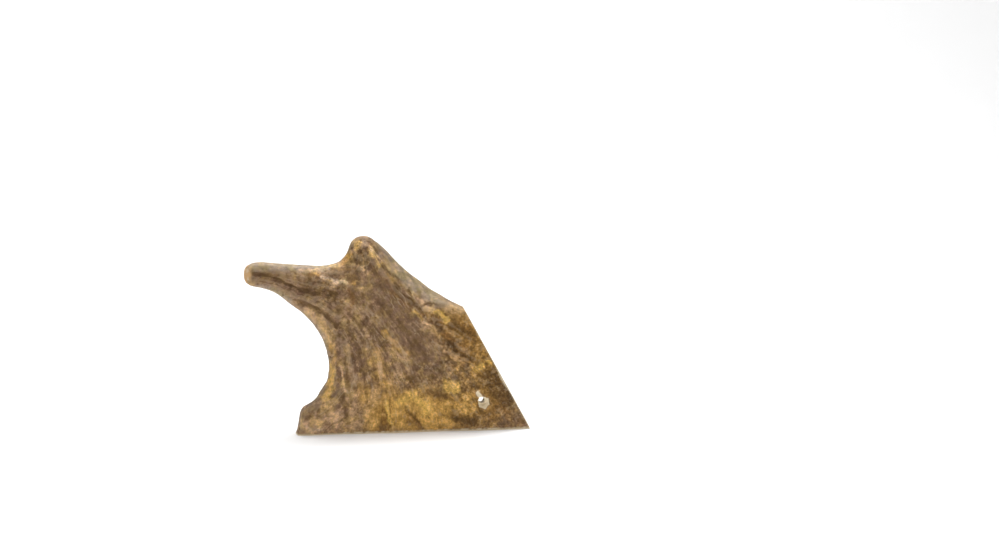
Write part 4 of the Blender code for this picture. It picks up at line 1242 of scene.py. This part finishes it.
shader = tree.nodes["Principled BSDF"]
place = tree.nodes.new("ShaderNodeTexCoord").outputs["Object"]
grain = add_node("ShaderNodeAttribute", attribute_name="grain").outputs["Vector"]
contrast = add_scaled(value_of("palm"), 0.45, 0.55)
fibre = add_scaled(from_half(along_grain(grain, "fibres")), contrast, 0.5)
bark = bark_colour(place, grain, fibre, along_grain(grain, "threads"))
roughness = add_scaled(value_of("stone_and_sheen"), -0.14, add_scaled(fibre, 0.25, 0.44))
roughness = add_scaled(fade(value_of("hollow"), 0.1, 0.8), 0.2, roughness)
height = add_scaled(along_grain(grain, "fine fibres"), 0.7,
                    times(pattern(place, "fine grit"), 0.3))
bump = add_node("ShaderNodeBump", {"Height": height, "Strength": 0.6, "Distance": BUMP_HEIGHT})
tree.links.new(bone_colour(place, bark), shader.inputs["Base Color"])
tree.links.new(roughness, shader.inputs["Roughness"])
tree.links.new(bump.outputs["Normal"], shader.inputs["Normal"])
shader.inputs["Specular IOR Level"].default_value = SHEEN

antler_mesh.transform(Matrix.Scale(MM, 4) @ Matrix.Translation((DRAWING_LEFT, 0, 0)))
antler_mesh.shade_smooth()
antler_mesh.set_sharp_from_angle(angle=math.radians(CUT_EDGE_ANGLE))
antler_mesh.materials.clear()
antler_mesh.materials.append(finish)
antler = loose_object("antler", antler_mesh)
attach(antler, "root")
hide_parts("palm", "long_tine", "short_tine")

# ---- Table, light and camera ----
# A white table that runs up into a white wall, lit by a soft light overhead, one on the wall
# and two weaker ones beside the camera, as for a catalogue picture.

CAMERA_AZIMUTH = -9.0
CAMERA_ELEVATION = 8.0
CAMERA_LENS = 100.7
CAMERA_DISTANCE = 1.110
CAMERA_TARGET = Vector((80.398, -11.313, 66.624))
SWEEP_STEPS = 12
SWEEP_WHITE = (0.9, 0.9, 0.9, 1)
SWEEP_ROUGHNESS = 0.8
ROOM_LIGHT = 0.15
# place, what it is aimed at, size and power
LIGHTS = {
    "overhead": ((0.1, 0.25, 1.0), (0, 0, 0), (0.6, 0.6), 12.0),
    "left front": ((-0.9, -1.0, 0.3), (0, 0, 0.02), (0.8, 0.6), 2.95),
    "right front": ((0.9, -1.0, 0.25), (0, 0, 0.02), (0.8, 0.6), 2.05),
    "wall light": ((0.0, -0.1, 1.5), (0, 1.1, 0.55), (1.8, 0.8), 10.5),
}


def white_sweep():
    shape = bmesh.new()
    half_width, front, wall, height, bend = 1.6, -1.3, 1.1, 1.6, 0.5
    profile = [(front, 0.0)]
    for step in range(SWEEP_STEPS + 1):
        turn = math.radians(90 * step / SWEEP_STEPS)
        profile.append((wall - bend + bend * math.sin(turn), bend - bend * math.cos(turn)))
    profile.append((wall, height))
    left = [shape.verts.new((-half_width, y, z)) for y, z in profile]
    right = [shape.verts.new((half_width, y, z)) for y, z in profile]
    for k in range(len(profile) - 1):
        shape.faces.new((left[k], right[k], right[k + 1], left[k + 1]))
    mesh = to_mesh("white sweep", shape)
    mesh.shade_smooth()
    paper = bpy.data.materials.new("white paper")
    paper.use_nodes = True
    shader = paper.node_tree.nodes["Principled BSDF"]
    shader.inputs["Base Color"].default_value = SWEEP_WHITE
    shader.inputs["Roughness"].default_value = SWEEP_ROUGHNESS
    mesh.materials.append(paper)
    sweep = loose_object("white_sweep", mesh)


def soft_light(name, place, aim, size, power):
    data = bpy.data.lights.new(name, "AREA")
    data.shape = "RECTANGLE"
    data.size, data.size_y = size
    data.energy = power
    lamp = loose_object(name, data)
    lamp.location = place
    lamp.rotation_euler = (Vector(aim) - Vector(place)).to_track_quat("-Z", "Y").to_euler()


def aim_camera():
    azimuth, elevation = math.radians(CAMERA_AZIMUTH), math.radians(CAMERA_ELEVATION)
    back = Vector((math.sin(azimuth) * math.cos(elevation),
                   -math.cos(azimuth) * math.cos(elevation), math.sin(elevation)))
    target = (CAMERA_TARGET + Vector((DRAWING_LEFT, 0, 0))) * MM
    data = bpy.data.cameras.new("camera")
    data.lens = CAMERA_LENS
    data.sensor_width = 36.0
    data.clip_start = 0.02
    camera = loose_object("camera", data)
    camera.location = target + back * CAMERA_DISTANCE
    camera.rotation_euler = (-back).to_track_quat("-Z", "Y").to_euler()
    bpy.context.scene.camera = camera


white_sweep()
for name, setting in LIGHTS.items():
    soft_light(name, *setting)
aim_camera()
world = bpy.data.worlds.new("room")
world.use_nodes = True
air = world.node_tree.nodes["Background"]
air.inputs["Color"].default_value = (1, 1, 1, 1)
air.inputs["Strength"].default_value = ROOM_LIGHT
bpy.context.scene.world = world
bpy.context.scene.view_settings.view_transform = "Standard"
